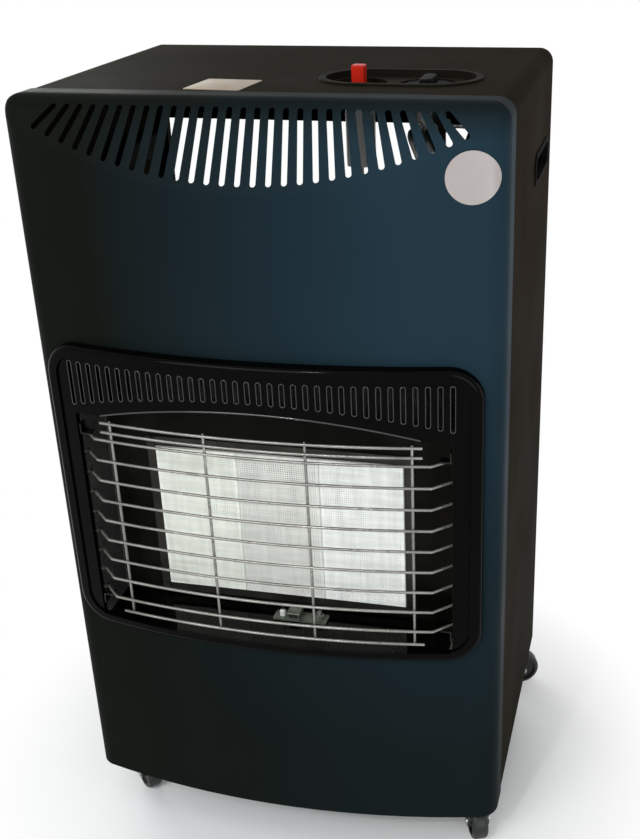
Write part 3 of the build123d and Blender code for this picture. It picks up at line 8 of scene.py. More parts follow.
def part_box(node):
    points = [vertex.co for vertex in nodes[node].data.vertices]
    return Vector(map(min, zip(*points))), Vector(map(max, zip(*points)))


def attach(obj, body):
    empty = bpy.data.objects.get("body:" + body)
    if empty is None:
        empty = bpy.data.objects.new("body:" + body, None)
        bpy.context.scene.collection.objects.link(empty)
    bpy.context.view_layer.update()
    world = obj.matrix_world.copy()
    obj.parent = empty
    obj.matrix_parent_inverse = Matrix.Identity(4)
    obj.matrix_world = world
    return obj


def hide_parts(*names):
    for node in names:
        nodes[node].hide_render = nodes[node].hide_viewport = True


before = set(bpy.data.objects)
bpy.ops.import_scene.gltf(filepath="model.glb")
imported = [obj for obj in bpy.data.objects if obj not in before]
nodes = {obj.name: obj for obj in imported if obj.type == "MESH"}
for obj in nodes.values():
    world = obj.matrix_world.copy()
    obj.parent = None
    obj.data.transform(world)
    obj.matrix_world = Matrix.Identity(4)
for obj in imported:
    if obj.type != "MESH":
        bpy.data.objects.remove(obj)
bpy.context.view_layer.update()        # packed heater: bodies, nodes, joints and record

# Portable gas cabinet heater: finishes, ceramic plaques, wire guard, bare plate and disc, rolled lips,
# caster wheels and studio.
# Metres, in the CAD frame: the front faces -Y and the casters stand on z = 0.


def startFinish(name):
    finish = bpy.data.materials.new(name)
    finish.use_nodes = True
    tree = finish.node_tree
    coords = tree.nodes.new("ShaderNodeTexCoord").outputs["Object"]
    return finish, tree, tree.nodes["Principled BSDF"], coords


def addNoise(tree, coords, scale, detail, stretch=(1, 1, 1)):
    mapping = tree.nodes.new("ShaderNodeMapping")
    mapping.inputs["Scale"].default_value = stretch
    noise = tree.nodes.new("ShaderNodeTexNoise")
    noise.inputs["Scale"].default_value = scale
    noise.inputs["Detail"].default_value = detail
    tree.links.new(coords, mapping.inputs["Vector"])
    tree.links.new(mapping.outputs["Vector"], noise.inputs["Vector"])
    return noise.outputs["Fac"]


def addRange(tree, value, *limits):
    node = tree.nodes.new("ShaderNodeMapRange")
    for socket, number in zip(("From Min", "From Max", "To Min", "To Max"), limits):
        node.inputs[socket].default_value = number
    tree.links.new(value, node.inputs["Value"])
    return node.outputs["Result"]


def addMath(tree, operation, *values):
    node = tree.nodes.new("ShaderNodeMath")
    node.operation = operation
    for socket, value in zip(node.inputs, values):
        if isinstance(value, float):
            socket.default_value = value
        else:
            tree.links.new(value, socket)
    return node.outputs[0]


def addAxes(tree, coords):
    axes = tree.nodes.new("ShaderNodeSeparateXYZ")
    tree.links.new(coords, axes.inputs["Vector"])
    return axes.outputs


def addRamp(tree, value, stops):
    ramp = tree.nodes.new("ShaderNodeValToRGB")
    ramp.color_ramp.elements[0].position = stops[0][0]
    ramp.color_ramp.elements[0].color = (*stops[0][1], 1)
    ramp.color_ramp.elements[1].position = stops[-1][0]
    ramp.color_ramp.elements[1].color = (*stops[-1][1], 1)
    for place, colour in stops[1:-1]:
        ramp.color_ramp.elements.new(place).color = (*colour, 1)
    tree.links.new(value, ramp.inputs["Fac"])
    return ramp.outputs["Color"]


def addMix(tree, factor, first, second):
    mix = tree.nodes.new("ShaderNodeMix")
    mix.data_type = "RGBA"
    tree.links.new(factor, mix.inputs["Factor"])
    tree.links.new(first, mix.inputs["A"])
    tree.links.new(second, mix.inputs["B"])
    return mix.outputs["Result"]


def addBump(tree, height, depth):
    bump = tree.nodes.new("ShaderNodeBump")
    bump.inputs["Strength"].default_value = 1.0
    bump.inputs["Distance"].default_value = depth
    tree.links.new(height, bump.inputs["Height"])
    return bump.outputs["Normal"]


# coat, plastic or metal whose tone, gloss and surface vary from place to place
def makeFinish(name, look):
    finish, tree, shader, coords = startFinish(name)
    patches = addNoise(tree, coords, look["patch"], 4.0)
    tones = addRamp(tree, patches, [(0.3, look["dark"]), (0.7, look["light"])])
    tree.links.new(tones, shader.inputs["Base Color"])
    smears = addNoise(tree, coords, look["patch"] * 2.3, 5.0)
    tree.links.new(addRange(tree, smears, 0.3, 0.7, *look["rough"]), shader.inputs["Roughness"])
    grain = addNoise(tree, coords, look["grain"], 2.0, look.get("grainStretch", (1, 1, 1)))
    tree.links.new(addBump(tree, grain, look["grainDepth"]), shader.inputs["Normal"])
    shader.inputs["Metallic"].default_value = look.get("metal", 0.0)
    shader.inputs["Specular IOR Level"].default_value = look.get("specular", 0.5)
    return finish


# tones are linear; patch, grain: noise scales per metre; rough: from the smoothest to the dullest places
looks = {
    "surroundEnamel": {"dark": (0.0008, 0.0009, 0.0007), "light": (0.0015, 0.0016, 0.0013), "patch": 9.0,
                       "rough": (0.05, 0.09), "grain": 260.0, "grainDepth": 0.00004, "specular": 0.04},
    # lip enamel: lighter than the surround enamel it belongs to, a painted highlight along the rolled edges
    "lipEnamel": {"dark": (0.0050, 0.0055, 0.0050), "light": (0.0100, 0.0105, 0.0095), "patch": 40.0,
                  "rough": (0.10, 0.18), "grain": 900.0, "grainDepth": 0.00001, "specular": 0.8},
    "guardPlating": {"dark": (0.17, 0.165, 0.15), "light": (0.29, 0.28, 0.26), "patch": 34.0,
                     "rough": (0.22, 0.34), "grain": 1400.0, "grainDepth": 0.00001, "metal": 0.6},
    "clipSteel": {"dark": (0.014, 0.013, 0.012), "light": (0.034, 0.032, 0.029), "patch": 60.0,
                  "rough": (0.22, 0.36), "grain": 1000.0, "grainDepth": 0.00002, "metal": 0.9},
    "burntSteel": {"dark": (0.012, 0.011, 0.009), "light": (0.032, 0.029, 0.024), "patch": 50.0,
                   "rough": (0.42, 0.58), "grain": 700.0, "grainDepth": 0.00003, "metal": 0.6},
    "plainSteel": {"dark": (0.40, 0.40, 0.39), "light": (0.60, 0.60, 0.58), "patch": 20.0,
                   "rough": (0.28, 0.42), "grain": 700.0, "grainDepth": 0.00002, "metal": 1.0},
    "galvanised": {"dark": (0.34, 0.35, 0.36), "light": (0.43, 0.44, 0.45), "patch": 38.0,
                   "rough": (0.38, 0.48), "grain": 240.0, "grainDepth": 0.00003, "metal": 1.0},
    "burnerSteel": {"dark": (0.10, 0.095, 0.085), "light": (0.22, 0.20, 0.17), "patch": 26.0,
                    "rough": (0.38, 0.58), "grain": 500.0, "grainDepth": 0.00004, "metal": 0.9},
    "pilotSteel": {"dark": (0.085, 0.095, 0.078), "light": (0.19, 0.205, 0.17), "patch": 90.0,
                   "rough": (0.30, 0.46), "grain": 900.0, "grainDepth": 0.00003, "metal": 0.7},
    "pipeMetal": {"dark": (0.52, 0.53, 0.53), "light": (0.70, 0.70, 0.69), "patch": 30.0,
                  "rough": (0.26, 0.40), "grain": 900.0, "grainDepth": 0.00001, "metal": 1.0},
    "turnedBrass": {"dark": (0.55, 0.38, 0.15), "light": (0.76, 0.56, 0.26), "patch": 60.0,
                    "rough": (0.20, 0.34), "grain": 1500.0, "grainDepth": 0.00001, "metal": 1.0,
                    "grainStretch": (1, 1, 6)},
    "castAlloy": {"dark": (0.36, 0.36, 0.36), "light": (0.52, 0.52, 0.51), "patch": 45.0,
                  "rough": (0.38, 0.52), "grain": 900.0, "grainDepth": 0.00005, "metal": 1.0},
    "bezelPlastic": {"dark": (0.0075, 0.0068, 0.0045), "light": (0.0115, 0.0105, 0.0075), "patch": 25.0,
                     "rough": (0.52, 0.64), "grain": 1300.0, "grainDepth": 0.00003, "specular": 0.012},
    "knobPlastic": {"dark": (0.0036, 0.0036, 0.0034), "light": (0.0070, 0.0070, 0.0064), "patch": 60.0,
                    "rough": (0.46, 0.60), "grain": 1600.0, "grainDepth": 0.00003, "specular": 0.02},
    "buttonPlastic": {"dark": (0.42, 0.011, 0.004), "light": (0.54, 0.018, 0.007), "patch": 90.0,
                      "rough": (0.26, 0.38), "grain": 1500.0, "grainDepth": 0.00002, "specular": 0.1},
    "gripPlastic": {"dark": (0.0050, 0.0050, 0.0048), "light": (0.0095, 0.0092, 0.0085), "patch": 40.0,
                    "rough": (0.58, 0.70), "grain": 1200.0, "grainDepth": 0.00006, "specular": 0.008},
    "wheelRubber": {"dark": (0.0050, 0.0050, 0.0050), "light": (0.0130, 0.0125, 0.0115), "patch": 50.0,
                    "rough": (0.36, 0.56), "grain": 900.0, "grainDepth": 0.00005, "specular": 0.4},
    "forkCoat": {"dark": (0.0060, 0.0060, 0.0060), "light": (0.0140, 0.0135, 0.0125), "patch": 45.0,
                 "rough": (0.26, 0.40), "grain": 800.0, "grainDepth": 0.00003, "specular": 0.45},
    "leadSleeve": {"dark": (0.46, 0.44, 0.40), "light": (0.60, 0.58, 0.53), "patch": 60.0,
                   "rough": (0.40, 0.55), "grain": 900.0, "grainDepth": 0.00003, "specular": 0.5},
    "insulator": {"dark": (0.66, 0.65, 0.61), "light": (0.78, 0.77, 0.74), "patch": 70.0,
                  "rough": (0.18, 0.30), "grain": 900.0, "grainDepth": 0.00002, "specular": 0.5},
    "plateFoil": {"dark": (0.30, 0.235, 0.165), "light": (0.34, 0.275, 0.20), "patch": 40.0,
                  "rough": (0.34, 0.48), "grain": 900.0, "grainDepth": 0.00002, "specular": 0.2},
    "discEnamel": {"dark": (0.35, 0.30, 0.285), "light": (0.375, 0.325, 0.31), "patch": 45.0,
                   "rough": (0.26, 0.36), "grain": 900.0, "grainDepth": 0.00001, "specular": 0.3},
}
finishes = {name: makeFinish(name, look) for name, look in looks.items()}


# satin powder coat: an olive black that turns to its second tone towards the upper right, but not at the very
# top; that second tone is a painted reflection, not the paint's own colour; across, upward and topward are
# place, place, share, share
coat = {"patch": 4.0, "grain": 620.0, "grainDepth": 0.00005, "leftSpread": 1.5, "rightSpread": 1.3,
        "across": (-0.14, 0.13, 0.0, 1.0), "upward": (0.12, 0.55, 0.15, 1.0),
        "topward": (0.702, 0.728, 1.0, 0.2)}


def makeCoat(name, left, right, rough, specular):
    finish, tree, shader, coords = startFinish(name)
    cloud = addNoise(tree, coords, coat["patch"], 4.0)
    leftLight = tuple(coat["leftSpread"] * tone for tone in left)
    rightLight = tuple(coat["rightSpread"] * tone for tone in right)
    place = addAxes(tree, coords)
    # where the painted reflection lies: towards the right and upward, fading out at the very top
    paintedSheenArea = addMath(tree, "MULTIPLY", addRange(tree, place["X"], *coat["across"]),
                         addRange(tree, place["Z"], *coat["upward"]))
    paintedSheenShare = addMath(tree, "MULTIPLY", paintedSheenArea, addRange(tree, place["Z"], *coat["topward"]))
    tones = addMix(tree, paintedSheenShare, addRamp(tree, cloud, [(0.3, left), (0.7, leftLight)]),
                   addRamp(tree, cloud, [(0.3, right), (0.7, rightLight)]))
    tree.links.new(tones, shader.inputs["Base Color"])
    smears = addNoise(tree, coords, coat["patch"] * 2.3, 5.0)
    tree.links.new(addRange(tree, smears, 0.3, 0.7, *rough), shader.inputs["Roughness"])
    grain = addNoise(tree, coords, coat["grain"], 2.0)
    tree.links.new(addBump(tree, grain, coat["grainDepth"]), shader.inputs["Normal"])
    shader.inputs["Specular IOR Level"].default_value = specular
    return finish


# front: the bluish second tone is a painted reflection on the upper right; casing: the olive first tone is
# partly the paint and partly painted sheen, and the warm-brown second tone is a painted reflection on the
# right side
finishes["frontCoat"] = makeCoat("frontCoat", (0.0032, 0.0042, 0.0030), (0.0100, 0.0230, 0.0330),
                                 (0.50, 0.60), 0.024)
finishes["casingCoat"] = makeCoat("casingCoat", (0.0085, 0.0072, 0.0042), (0.0082, 0.0048, 0.0020),
                                  (0.60, 0.70), 0.006)


# white fired ceramic, cream on the left plaque and greyer on the middle one, with level and upright
# streaks and fine grit
ceramic = {"clean": ((0.96, 0.945, 0.895), (0.985, 0.975, 0.935)),
           "cream": ((0.86, 0.86, 0.77), (0.94, 0.94, 0.86)),
           "fired": ((0.76, 0.745, 0.69), (0.84, 0.825, 0.77)), "joint": (0.0385, 0.041),
           "level": (0.86, 1.0), "upright": (0.88, 1.0), "rough": (0.80, 0.95), "grit": 2200.0,
           "gritDepth": 0.00004, "specular": 0.2}


def makeCeramic():
    finish, tree, shader, coords = startFinish("plaqueCeramic")
    cloud = addNoise(tree, coords, 16.0, 5.0)
    clean = addRamp(tree, cloud, list(zip((0.25, 0.6), ceramic["clean"])))
    cream = addRamp(tree, cloud, list(zip((0.3, 0.7), ceramic["cream"])))
    fired = addRamp(tree, cloud, list(zip((0.3, 0.7), ceramic["fired"])))
    level = addNoise(tree, coords, 9.0, 4.0, (2.0, 1.0, 22.0))
    upright = addNoise(tree, coords, 9.0, 4.0, (18.0, 1.0, 1.6))
    streaks = addMath(tree, "MULTIPLY", addRange(tree, level, 0.35, 0.65, *ceramic["level"]),
                      addRange(tree, upright, 0.35, 0.65, *ceramic["upright"]))
    across = addAxes(tree, coords)["X"]
    near, far = ceramic["joint"]
    worn = addMix(tree, addRange(tree, across, -far, -near, 0.0, 1.0), cream, fired)
    whole = tree.nodes.new("ShaderNodeVectorMath")
    whole.operation = "SCALE"
    tree.links.new(addMix(tree, addRange(tree, across, near, far, 0.0, 1.0), worn, clean), whole.inputs[0])
    tree.links.new(streaks, whole.inputs["Scale"])
    tree.links.new(whole.outputs[0], shader.inputs["Base Color"])
    dull = addNoise(tree, coords, 60.0, 3.0)
    tree.links.new(addRange(tree, dull, 0.3, 0.7, *ceramic["rough"]), shader.inputs["Roughness"])
    shader.inputs["Specular IOR Level"].default_value = ceramic["specular"]
    grit = addNoise(tree, coords, ceramic["grit"], 2.0)
    tree.links.new(addBump(tree, grit, ceramic["gritDepth"]), shader.inputs["Normal"])
    return finish


finishes["plaqueCeramic"] = makeCeramic()


# glazed sleeve below, bare scaled wire above the given height
def makeElectrode(change):
    finish, tree, shader, coords = startFinish("electrodeCeramic")
    cloud = addNoise(tree, coords, 90.0, 3.0)
    glaze = addRamp(tree, cloud, [(0.3, (0.60, 0.59, 0.55)), (0.7, (0.74, 0.73, 0.70))])
    scale = addRamp(tree, cloud, [(0.3, (0.10, 0.09, 0.08)), (0.7, (0.26, 0.24, 0.21))])
    above = addRange(tree, addAxes(tree, coords)["Z"], change - 0.0003, change + 0.0003, 0.0, 1.0)
    tree.links.new(addMix(tree, above, glaze, scale), shader.inputs["Base Color"])
    tree.links.new(above, shader.inputs["Metallic"])
    tree.links.new(addRange(tree, cloud, 0.3, 0.7, 0.22, 0.38), shader.inputs["Roughness"])
    fine = addNoise(tree, coords, 1200.0, 2.0)
    tree.links.new(addBump(tree, fine, 0.00002), shader.inputs["Normal"])
    return finish


bareTip = 0.0062
finishes["electrodeCeramic"] = makeElectrode(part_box("ignition_electrode")[1].z - bareTip)


# polished side walls, with the floor, ceiling and dull cut edges in front darkened as painted shade; sooty
# sheet round the burner
liner = {"sideX": 0.1660, "sideSoft": 0.0006, "edgeY": -0.1512, "edgeSoft": 0.0015, "backY": -0.1094,
         "backSoft": 0.0008, "polished": ((0.40, 0.39, 0.36), (0.52, 0.51, 0.48)),
         "paintedShade": ((0.005, 0.0047, 0.004), (0.013, 0.012, 0.0105)),
         "soot": ((0.0022, 0.0020, 0.0016), (0.0056, 0.0052, 0.0042)), "metal": 0.94,
         "rough": (0.015, 0.04), "sootRough": 0.42, "specular": 0.03, "waveDepth": 0.00003}


def makeLiner():
    finish, tree, shader, coords = startFinish("linerSheet")
    cloud = addNoise(tree, coords, 14.0, 4.0)
    polished, paintedShade, soot = (addRamp(tree, cloud, list(zip((0.3, 0.7), liner[tone])))
                               for tone in ("polished", "paintedShade", "soot"))
    place = addAxes(tree, coords)
    aside = addMath(tree, "ABSOLUTE", place["X"])
    onWall = addMath(tree, "MULTIPLY",
                     addRange(tree, aside, liner["sideX"], liner["sideX"] + liner["sideSoft"], 0.0, 1.0),
                     addRange(tree, place["Y"], liner["edgeY"], liner["edgeY"] + liner["edgeSoft"], 0.0, 1.0))
    sooty = addRange(tree, place["Y"], liner["backY"], liner["backY"] + liner["backSoft"], 0.0, 1.0)
    # painted shade: everything off the polished side walls, and the front cut edges, takes the dark tone
    sides = addMix(tree, onWall, paintedShade, polished)
    tree.links.new(addMix(tree, sooty, sides, soot), shader.inputs["Base Color"])
    tree.links.new(addRange(tree, sooty, 0.0, 1.0, liner["metal"], 0.0), shader.inputs["Metallic"])
    smears = addNoise(tree, coords, 32.0, 5.0)
    gloss = addRange(tree, smears, 0.3, 0.7, *liner["rough"])
    rough = addMath(tree, "MULTIPLY_ADD", sooty, liner["sootRough"], gloss)
    tree.links.new(rough, shader.inputs["Roughness"])
    shader.inputs["Specular IOR Level"].default_value = liner["specular"]
    waves = addNoise(tree, coords, 60.0, 2.0)
    tree.links.new(addBump(tree, waves, liner["waveDepth"]), shader.inputs["Normal"])
    return finish


finishes["linerSheet"] = makeLiner()

nodeFinish = {
    "frontCoat": ["front_panel"],
    "casingCoat": ["cabinet_wrap", "rear_frame", "rear_cover", "base_tray"],
    "surroundEnamel": ["fire_surround"],
    "linerSheet": ["firebox"],
    "burntSteel": ["burner_frame", "burner_screws"],
    "guardPlating": ["wire_guard"],
    "clipSteel": ["guard_clips"],
    "pilotSteel": ["pilot_bracket", "pilot_burner", "thermocouple"],
    "plainSteel": ["rail_brackets", "pipe_clips", "tap_spring", "igniter_spring", "caster_screws",
                   "tap_spindle"],
    "galvanised": ["heat_shield", "caster_plates"],
    "burnerSteel": ["burner_box", "venturi_tubes"],
    "pipeMetal": ["pipe_main", "pipe_second", "pilot_pipe", "thermocouple_capillary", "injector_rail"],
    "turnedBrass": ["injectors", "inlet_nozzle", "tap_plug"],
    "castAlloy": ["gas_tap_body", "tap_bonnet"],
    "bezelPlastic": ["control_bezel"],
    "knobPlastic": ["control_knob"],
    "buttonPlastic": ["igniter_button"],
    "gripPlastic": ["grip_right", "grip_left"],
    "leadSleeve": ["igniter_lead"],
    "insulator": ["piezo_body"],
    "electrodeCeramic": ["ignition_electrode"],
    "plaqueCeramic": ["plaque_left", "plaque_centre", "plaque_right"],
    "wheelRubber": [name for name in nodes if name.startswith("caster_wheel")],
    "forkCoat": [name for name in nodes if name.startswith("caster_fork")],
}
nodeFinish["plainSteel"] += [name for name in nodes if name.startswith("caster_axle")]

for finishName, members in nodeFinish.items():
    for name in members:
        slots = nodes[name].data.materials
        slots.clear()
        slots.append(finishes[finishName])
print("finishes on", sum(len(members) for members in nodeFinish.values()), "of", len(nodes), "nodes")


def deselectAll():
    if bpy.context.mode != "OBJECT":
        bpy.ops.object.mode_set(mode="OBJECT")
    bpy.ops.object.select_all(action="DESELECT")


def editPiece(piece):
    deselectAll()
    piece.select_set(True)
    bpy.context.view_layer.objects.active = piece
    bpy.ops.object.mode_set(mode="EDIT")


# puts the object at the origin, with its place in its mesh
def placeInMesh(piece):
    deselectAll()
    piece.select_set(True)
    bpy.context.view_layer.objects.active = piece
    bpy.ops.object.transform_apply(location=True, rotation=True, scale=True)


def copyTo(source, place):
    deselectAll()
    source.select_set(True)
    bpy.context.view_layer.objects.active = source
    bpy.ops.object.duplicate()
    copy = bpy.context.active_object
    copy.location = place
    placeInMesh(copy)
    return copy


def finishPiece(piece, name, finish, body, slot, *replaced):
    piece.name = name
    piece.data.name = name
    piece.data.materials.clear()
    piece.data.materials.append(finishes[finish])
    placeInMesh(piece)
    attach(piece, body)
    if replaced:
        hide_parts(*replaced)
    return piece


# selects the faces that pass the test, in edit mode
def pickFaces(piece, test):
    shape = bmesh.from_edit_mesh(piece.data)
    for face in shape.faces:
        face.select = bool(test(face))
    shape.select_flush_mode()
    bmesh.update_edit_mesh(piece.data)


def pickVerts(piece, test):
    bpy.ops.mesh.select_mode(type="VERT")
    shape = bmesh.from_edit_mesh(piece.data)
    shape.verts.index_update()
    for vert in shape.verts:
        vert.select = bool(test(vert))
    shape.select_flush_mode()
    bmesh.update_edit_mesh(piece.data)


# selects the edges round each hole in the mesh
def pickOpenEdges():
    bpy.ops.mesh.select_mode(type="EDGE")
    bpy.ops.mesh.select_all(action="DESELECT")
    bpy.ops.mesh.select_non_manifold(extend=False, use_wire=False, use_boundary=True,
                                     use_multi_face=False, use_non_contiguous=False, use_verts=False)


def smoothPiece(piece, angle=30):
    deselectAll()
    piece.select_set(True)
    bpy.context.view_layer.objects.active = piece
    bpy.ops.object.shade_smooth_by_angle(angle=math.radians(angle))


# ceramic plaques with their fields of small holes
plaqueFace = {"columns": 34, "rows": 66, "pitch": 0.00215, "hole": 0.00112, "holeCorner": 0.00031,
              "holeDepth": 0.0011, "taper": 0.00008, "edge": 0.0006}


def modelPlaque(width, height, depth):
    face = plaqueFace
    bpy.ops.mesh.primitive_grid_add(x_subdivisions=face["columns"], y_subdivisions=face["rows"], size=1,
                                    location=(0, 0, 0), rotation=(math.pi / 2, 0, 0))
    plaque = bpy.context.active_object
    plaque.scale = (face["columns"] * face["pitch"], face["rows"] * face["pitch"], 1)
    placeInMesh(plaque)
    editPiece(plaque)
    bpy.ops.mesh.select_mode(type="FACE")
    bpy.ops.mesh.select_all(action="SELECT")
    bpy.ops.mesh.inset(use_individual=True, thickness=(face["pitch"] - face["hole"]) / 2)
    bpy.ops.mesh.bevel(affect="VERTICES", offset=face["holeCorner"], segments=1)
    pickFaces(plaque, lambda f: len(f.verts) == 8)
    bpy.ops.mesh.inset(use_individual=True, thickness=face["taper"], depth=-face["holeDepth"])
    # plain border, chamfered edge, sides and back
    pickOpenEdges()
    field = (face["columns"] * face["pitch"], face["rows"] * face["pitch"])
    steps = [(width - 2 * face["edge"], height - 2 * face["edge"], 0), (width, height, face["edge"]),
             (width, height, depth - face["edge"])]
    for wide, high, back in steps:
        bpy.ops.mesh.extrude_edges_move(TRANSFORM_OT_translate={"value": (0, back, 0)})
        bpy.ops.transform.resize(value=(wide / field[0], 1, high / field[1]), center_override=(0, 0, 0))
        field = (wide, high)
    bpy.ops.mesh.edge_face_add()
    bpy.ops.mesh.select_all(action="SELECT")
    bpy.ops.mesh.normals_make_consistent(inside=False)
    deselectAll()
    return plaque


low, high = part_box("plaque_centre")
firstPlaque = modelPlaque(high.x - low.x, high.z - low.z, high.y - low.y)
for name, nodeName in (("plaqueCentre", "plaque_centre"), ("plaqueLeft", "plaque_left"),
                       ("plaqueRight", "plaque_right")):
    low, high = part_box(nodeName)
    plaque = copyTo(firstPlaque, ((low.x + high.x) / 2, low.y, (low.z + high.z) / 2))
    finishPiece(plaque, name, "plaqueCeramic", "cabinet", "ceramic", nodeName)
bpy.data.objects.remove(firstPlaque)
print("plaques done")


# welded wire guard
wireGuard = {"wire": 0.0026, "sides": 12, "crestY": -0.1727, "bow": 0.893, "bendHalf": 0.1527,
             "bendRadius": 0.0035, "endReach": 0.0175, "lowRow": 0.2702, "pitch": 0.02075, "rows": 9,
             "shortHalf": 0.145, "shortRows": (0.2565, 0.4442, 0.4532),
             "uprights": (-0.1365, -0.0455, 0.0455, 0.1365), "uprightLow": 0.2549, "uprightHigh": 0.4548,
             "sink": 0.0005, "bead": 0.0011, "beadShape": (1.25, 0.8, 1.25), "endRound": 0.0006,
             "dome": ((0.18, 0.86), (0.12, 0.62), (0.05, 0.55))}


# domes the open end ring that is selected
def roundEnd(direction):
    wire = wireGuard["wire"]
    for reach, share in wireGuard["dome"]:
        bpy.ops.mesh.extrude_edges_move(TRANSFORM_OT_translate={"value": direction * (reach * wire)})
        picked = [v.co for v in bmesh.from_edit_mesh(bpy.context.edit_object.data).verts if v.select]
        middle = sum(picked, Vector()) / len(picked)
        bpy.ops.transform.resize(value=(share, share, share), center_override=middle)
    bpy.ops.mesh.edge_face_add()


# right half of a bowed wire at z = 0, mirrored to a whole one
def halfWire(half, bent):
    guard = wireGuard
    bpy.ops.mesh.primitive_circle_add(vertices=guard["sides"], radius=guard["wire"] / 2,
                                      location=(0, guard["crestY"], 0), rotation=(0, math.pi / 2, 0))
    wire = bpy.context.active_object
    placeInMesh(wire)
    editPiece(wire)
    bpy.ops.mesh.select_all(action="SELECT")
    sweep = math.asin(half / guard["bow"])
    turn = math.pi / 4 - sweep
    if bent:
        sweep = math.asin((half - guard["bendRadius"] * math.tan(turn / 2)) / guard["bow"])
        turn = math.pi / 4 - sweep
    bpy.ops.mesh.spin(steps=16, angle=-sweep, center=(0, guard["crestY"] + guard["bow"], 0), axis=(0, 0, 1))
    heading = Vector((math.cos(sweep), math.sin(sweep), 0))
    if bent:
        bendStart = Vector((guard["bow"] * math.sin(sweep),
                            guard["crestY"] + guard["bow"] * (1 - math.cos(sweep)), 0))
        centre = bendStart + guard["bendRadius"] * Vector((-heading.y, heading.x, 0))
        bpy.ops.mesh.spin(steps=5, angle=-turn, center=centre, axis=(0, 0, 1))
        heading = Vector((math.cos(math.pi / 4), math.sin(math.pi / 4), 0))
        straight = guard["endReach"] * math.sqrt(2) - guard["bendRadius"] * math.tan(turn / 2)
        run = heading * (straight - guard["endRound"])
        bpy.ops.mesh.extrude_edges_move(TRANSFORM_OT_translate={"value": run})
    roundEnd(heading)
    bpy.ops.object.mode_set(mode="OBJECT")
    mirror = wire.modifiers.new("otherHalf", "MIRROR")
    mirror.use_axis = (True, False, False)
    mirror.use_clip = True
    mirror.merge_threshold = 0.00002
    bpy.ops.object.modifier_apply(modifier=mirror.name)
    return wire


def uprightWire():
    guard = wireGuard
    bpy.ops.mesh.primitive_circle_add(vertices=guard["sides"], radius=guard["wire"] / 2,
                                      location=(0, 0, guard["uprightLow"] + guard["endRound"]))
    wire = bpy.context.active_object
    placeInMesh(wire)
    editPiece(wire)
    bpy.ops.mesh.select_all(action="SELECT")
    length = guard["uprightHigh"] - guard["uprightLow"] - 2 * guard["endRound"]
    bpy.ops.mesh.extrude_edges_move(TRANSFORM_OT_translate={"value": (0, 0, length)})
    roundEnd(Vector((0, 0, 1)))
    pickOpenEdges()
    roundEnd(Vector((0, 0, -1)))
    bpy.ops.object.mode_set(mode="OBJECT")
    return wire


def guardDepth(x):
    return wireGuard["crestY"] + wireGuard["bow"] - math.sqrt(wireGuard["bow"] ** 2 - x ** 2)


longWire = halfWire(wireGuard["bendHalf"], True)
shortWire = halfWire(wireGuard["shortHalf"], False)
upright = uprightWire()
longRows = [wireGuard["lowRow"] + n * wireGuard["pitch"] for n in range(wireGuard["rows"])]
guardParts = [copyTo(longWire, (0, 0, z)) for z in longRows]
guardParts += [copyTo(shortWire, (0, 0, z)) for z in wireGuard["shortRows"]]
behind = wireGuard["wire"] - wireGuard["sink"]
guardParts += [copyTo(upright, (x, guardDepth(x) + behind, 0)) for x in wireGuard["uprights"]]

# weld beads where an upright crosses a bowed wire
bpy.ops.mesh.primitive_uv_sphere_add(segments=10, ring_count=6, radius=wireGuard["bead"], location=(0, 0, 0))
bead = bpy.context.active_object
bead.scale = wireGuard["beadShape"]
placeInMesh(bead)
for x in wireGuard["uprights"]:
    for z in longRows + list(wireGuard["shortRows"]):
        guardParts.append(copyTo(bead, (x, guardDepth(x) + behind / 2, z)))

for spare in (longWire, shortWire, upright, bead):
    bpy.data.objects.remove(spare)
deselectAll()
for part in guardParts:
    part.select_set(True)
bpy.context.view_layer.objects.active = guardParts[0]
bpy.ops.object.join()
guardWires = bpy.context.active_object
editPiece(guardWires)
bpy.ops.mesh.select_all(action="SELECT")
bpy.ops.mesh.normals_make_consistent(inside=False)
smoothPiece(guardWires, 40)
finishPiece(guardWires, "guardWires", "guardPlating", "cabinet", "bright_wire", "wire_guard")
print("guard done")


# bare plate on the top and bare disc on the front
barePlate = {"width": 0.0501, "depth": 0.0520, "x": -0.0412, "y": -0.0645, "turn": -4.2,
             "thick": 0.0004, "corner": 0.0020, "edge": 0.00016, "rise": 0.00008, "lift": 0.00005}
bareDisc = {"diameter": 0.0415, "x": 0.1833, "z": 0.6766, "thick": 0.0005, "rings": 9, "start": -0.25,
            "lift": 0.00006}

bpy.ops.mesh.primitive_plane_add(size=1, location=(0, 0, 0))
plate = bpy.context.active_object
plate.scale = (barePlate["width"], barePlate["depth"], 1)
placeInMesh(plate)
editPiece(plate)
bpy.ops.mesh.select_all(action="SELECT")
bpy.ops.mesh.bevel(affect="VERTICES", offset=barePlate["corner"], segments=5)
bpy.ops.mesh.extrude_region_move(TRANSFORM_OT_translate={"value": (0, 0, barePlate["thick"])})
bpy.ops.mesh.inset(thickness=barePlate["edge"], depth=barePlate["rise"])
bpy.ops.mesh.select_all(action="SELECT")
bpy.ops.mesh.normals_make_consistent(inside=False)
deselectAll()
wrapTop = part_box("cabinet_wrap")[1].z
plate.rotation_euler = (0, 0, math.radians(barePlate["turn"]))
plate.location = (barePlate["x"], barePlate["y"], wrapTop + barePlate["lift"])
smoothPiece(plate, 30)
finishPiece(plate, "barePlate", "plateFoil", "cabinet", "white_plastic")

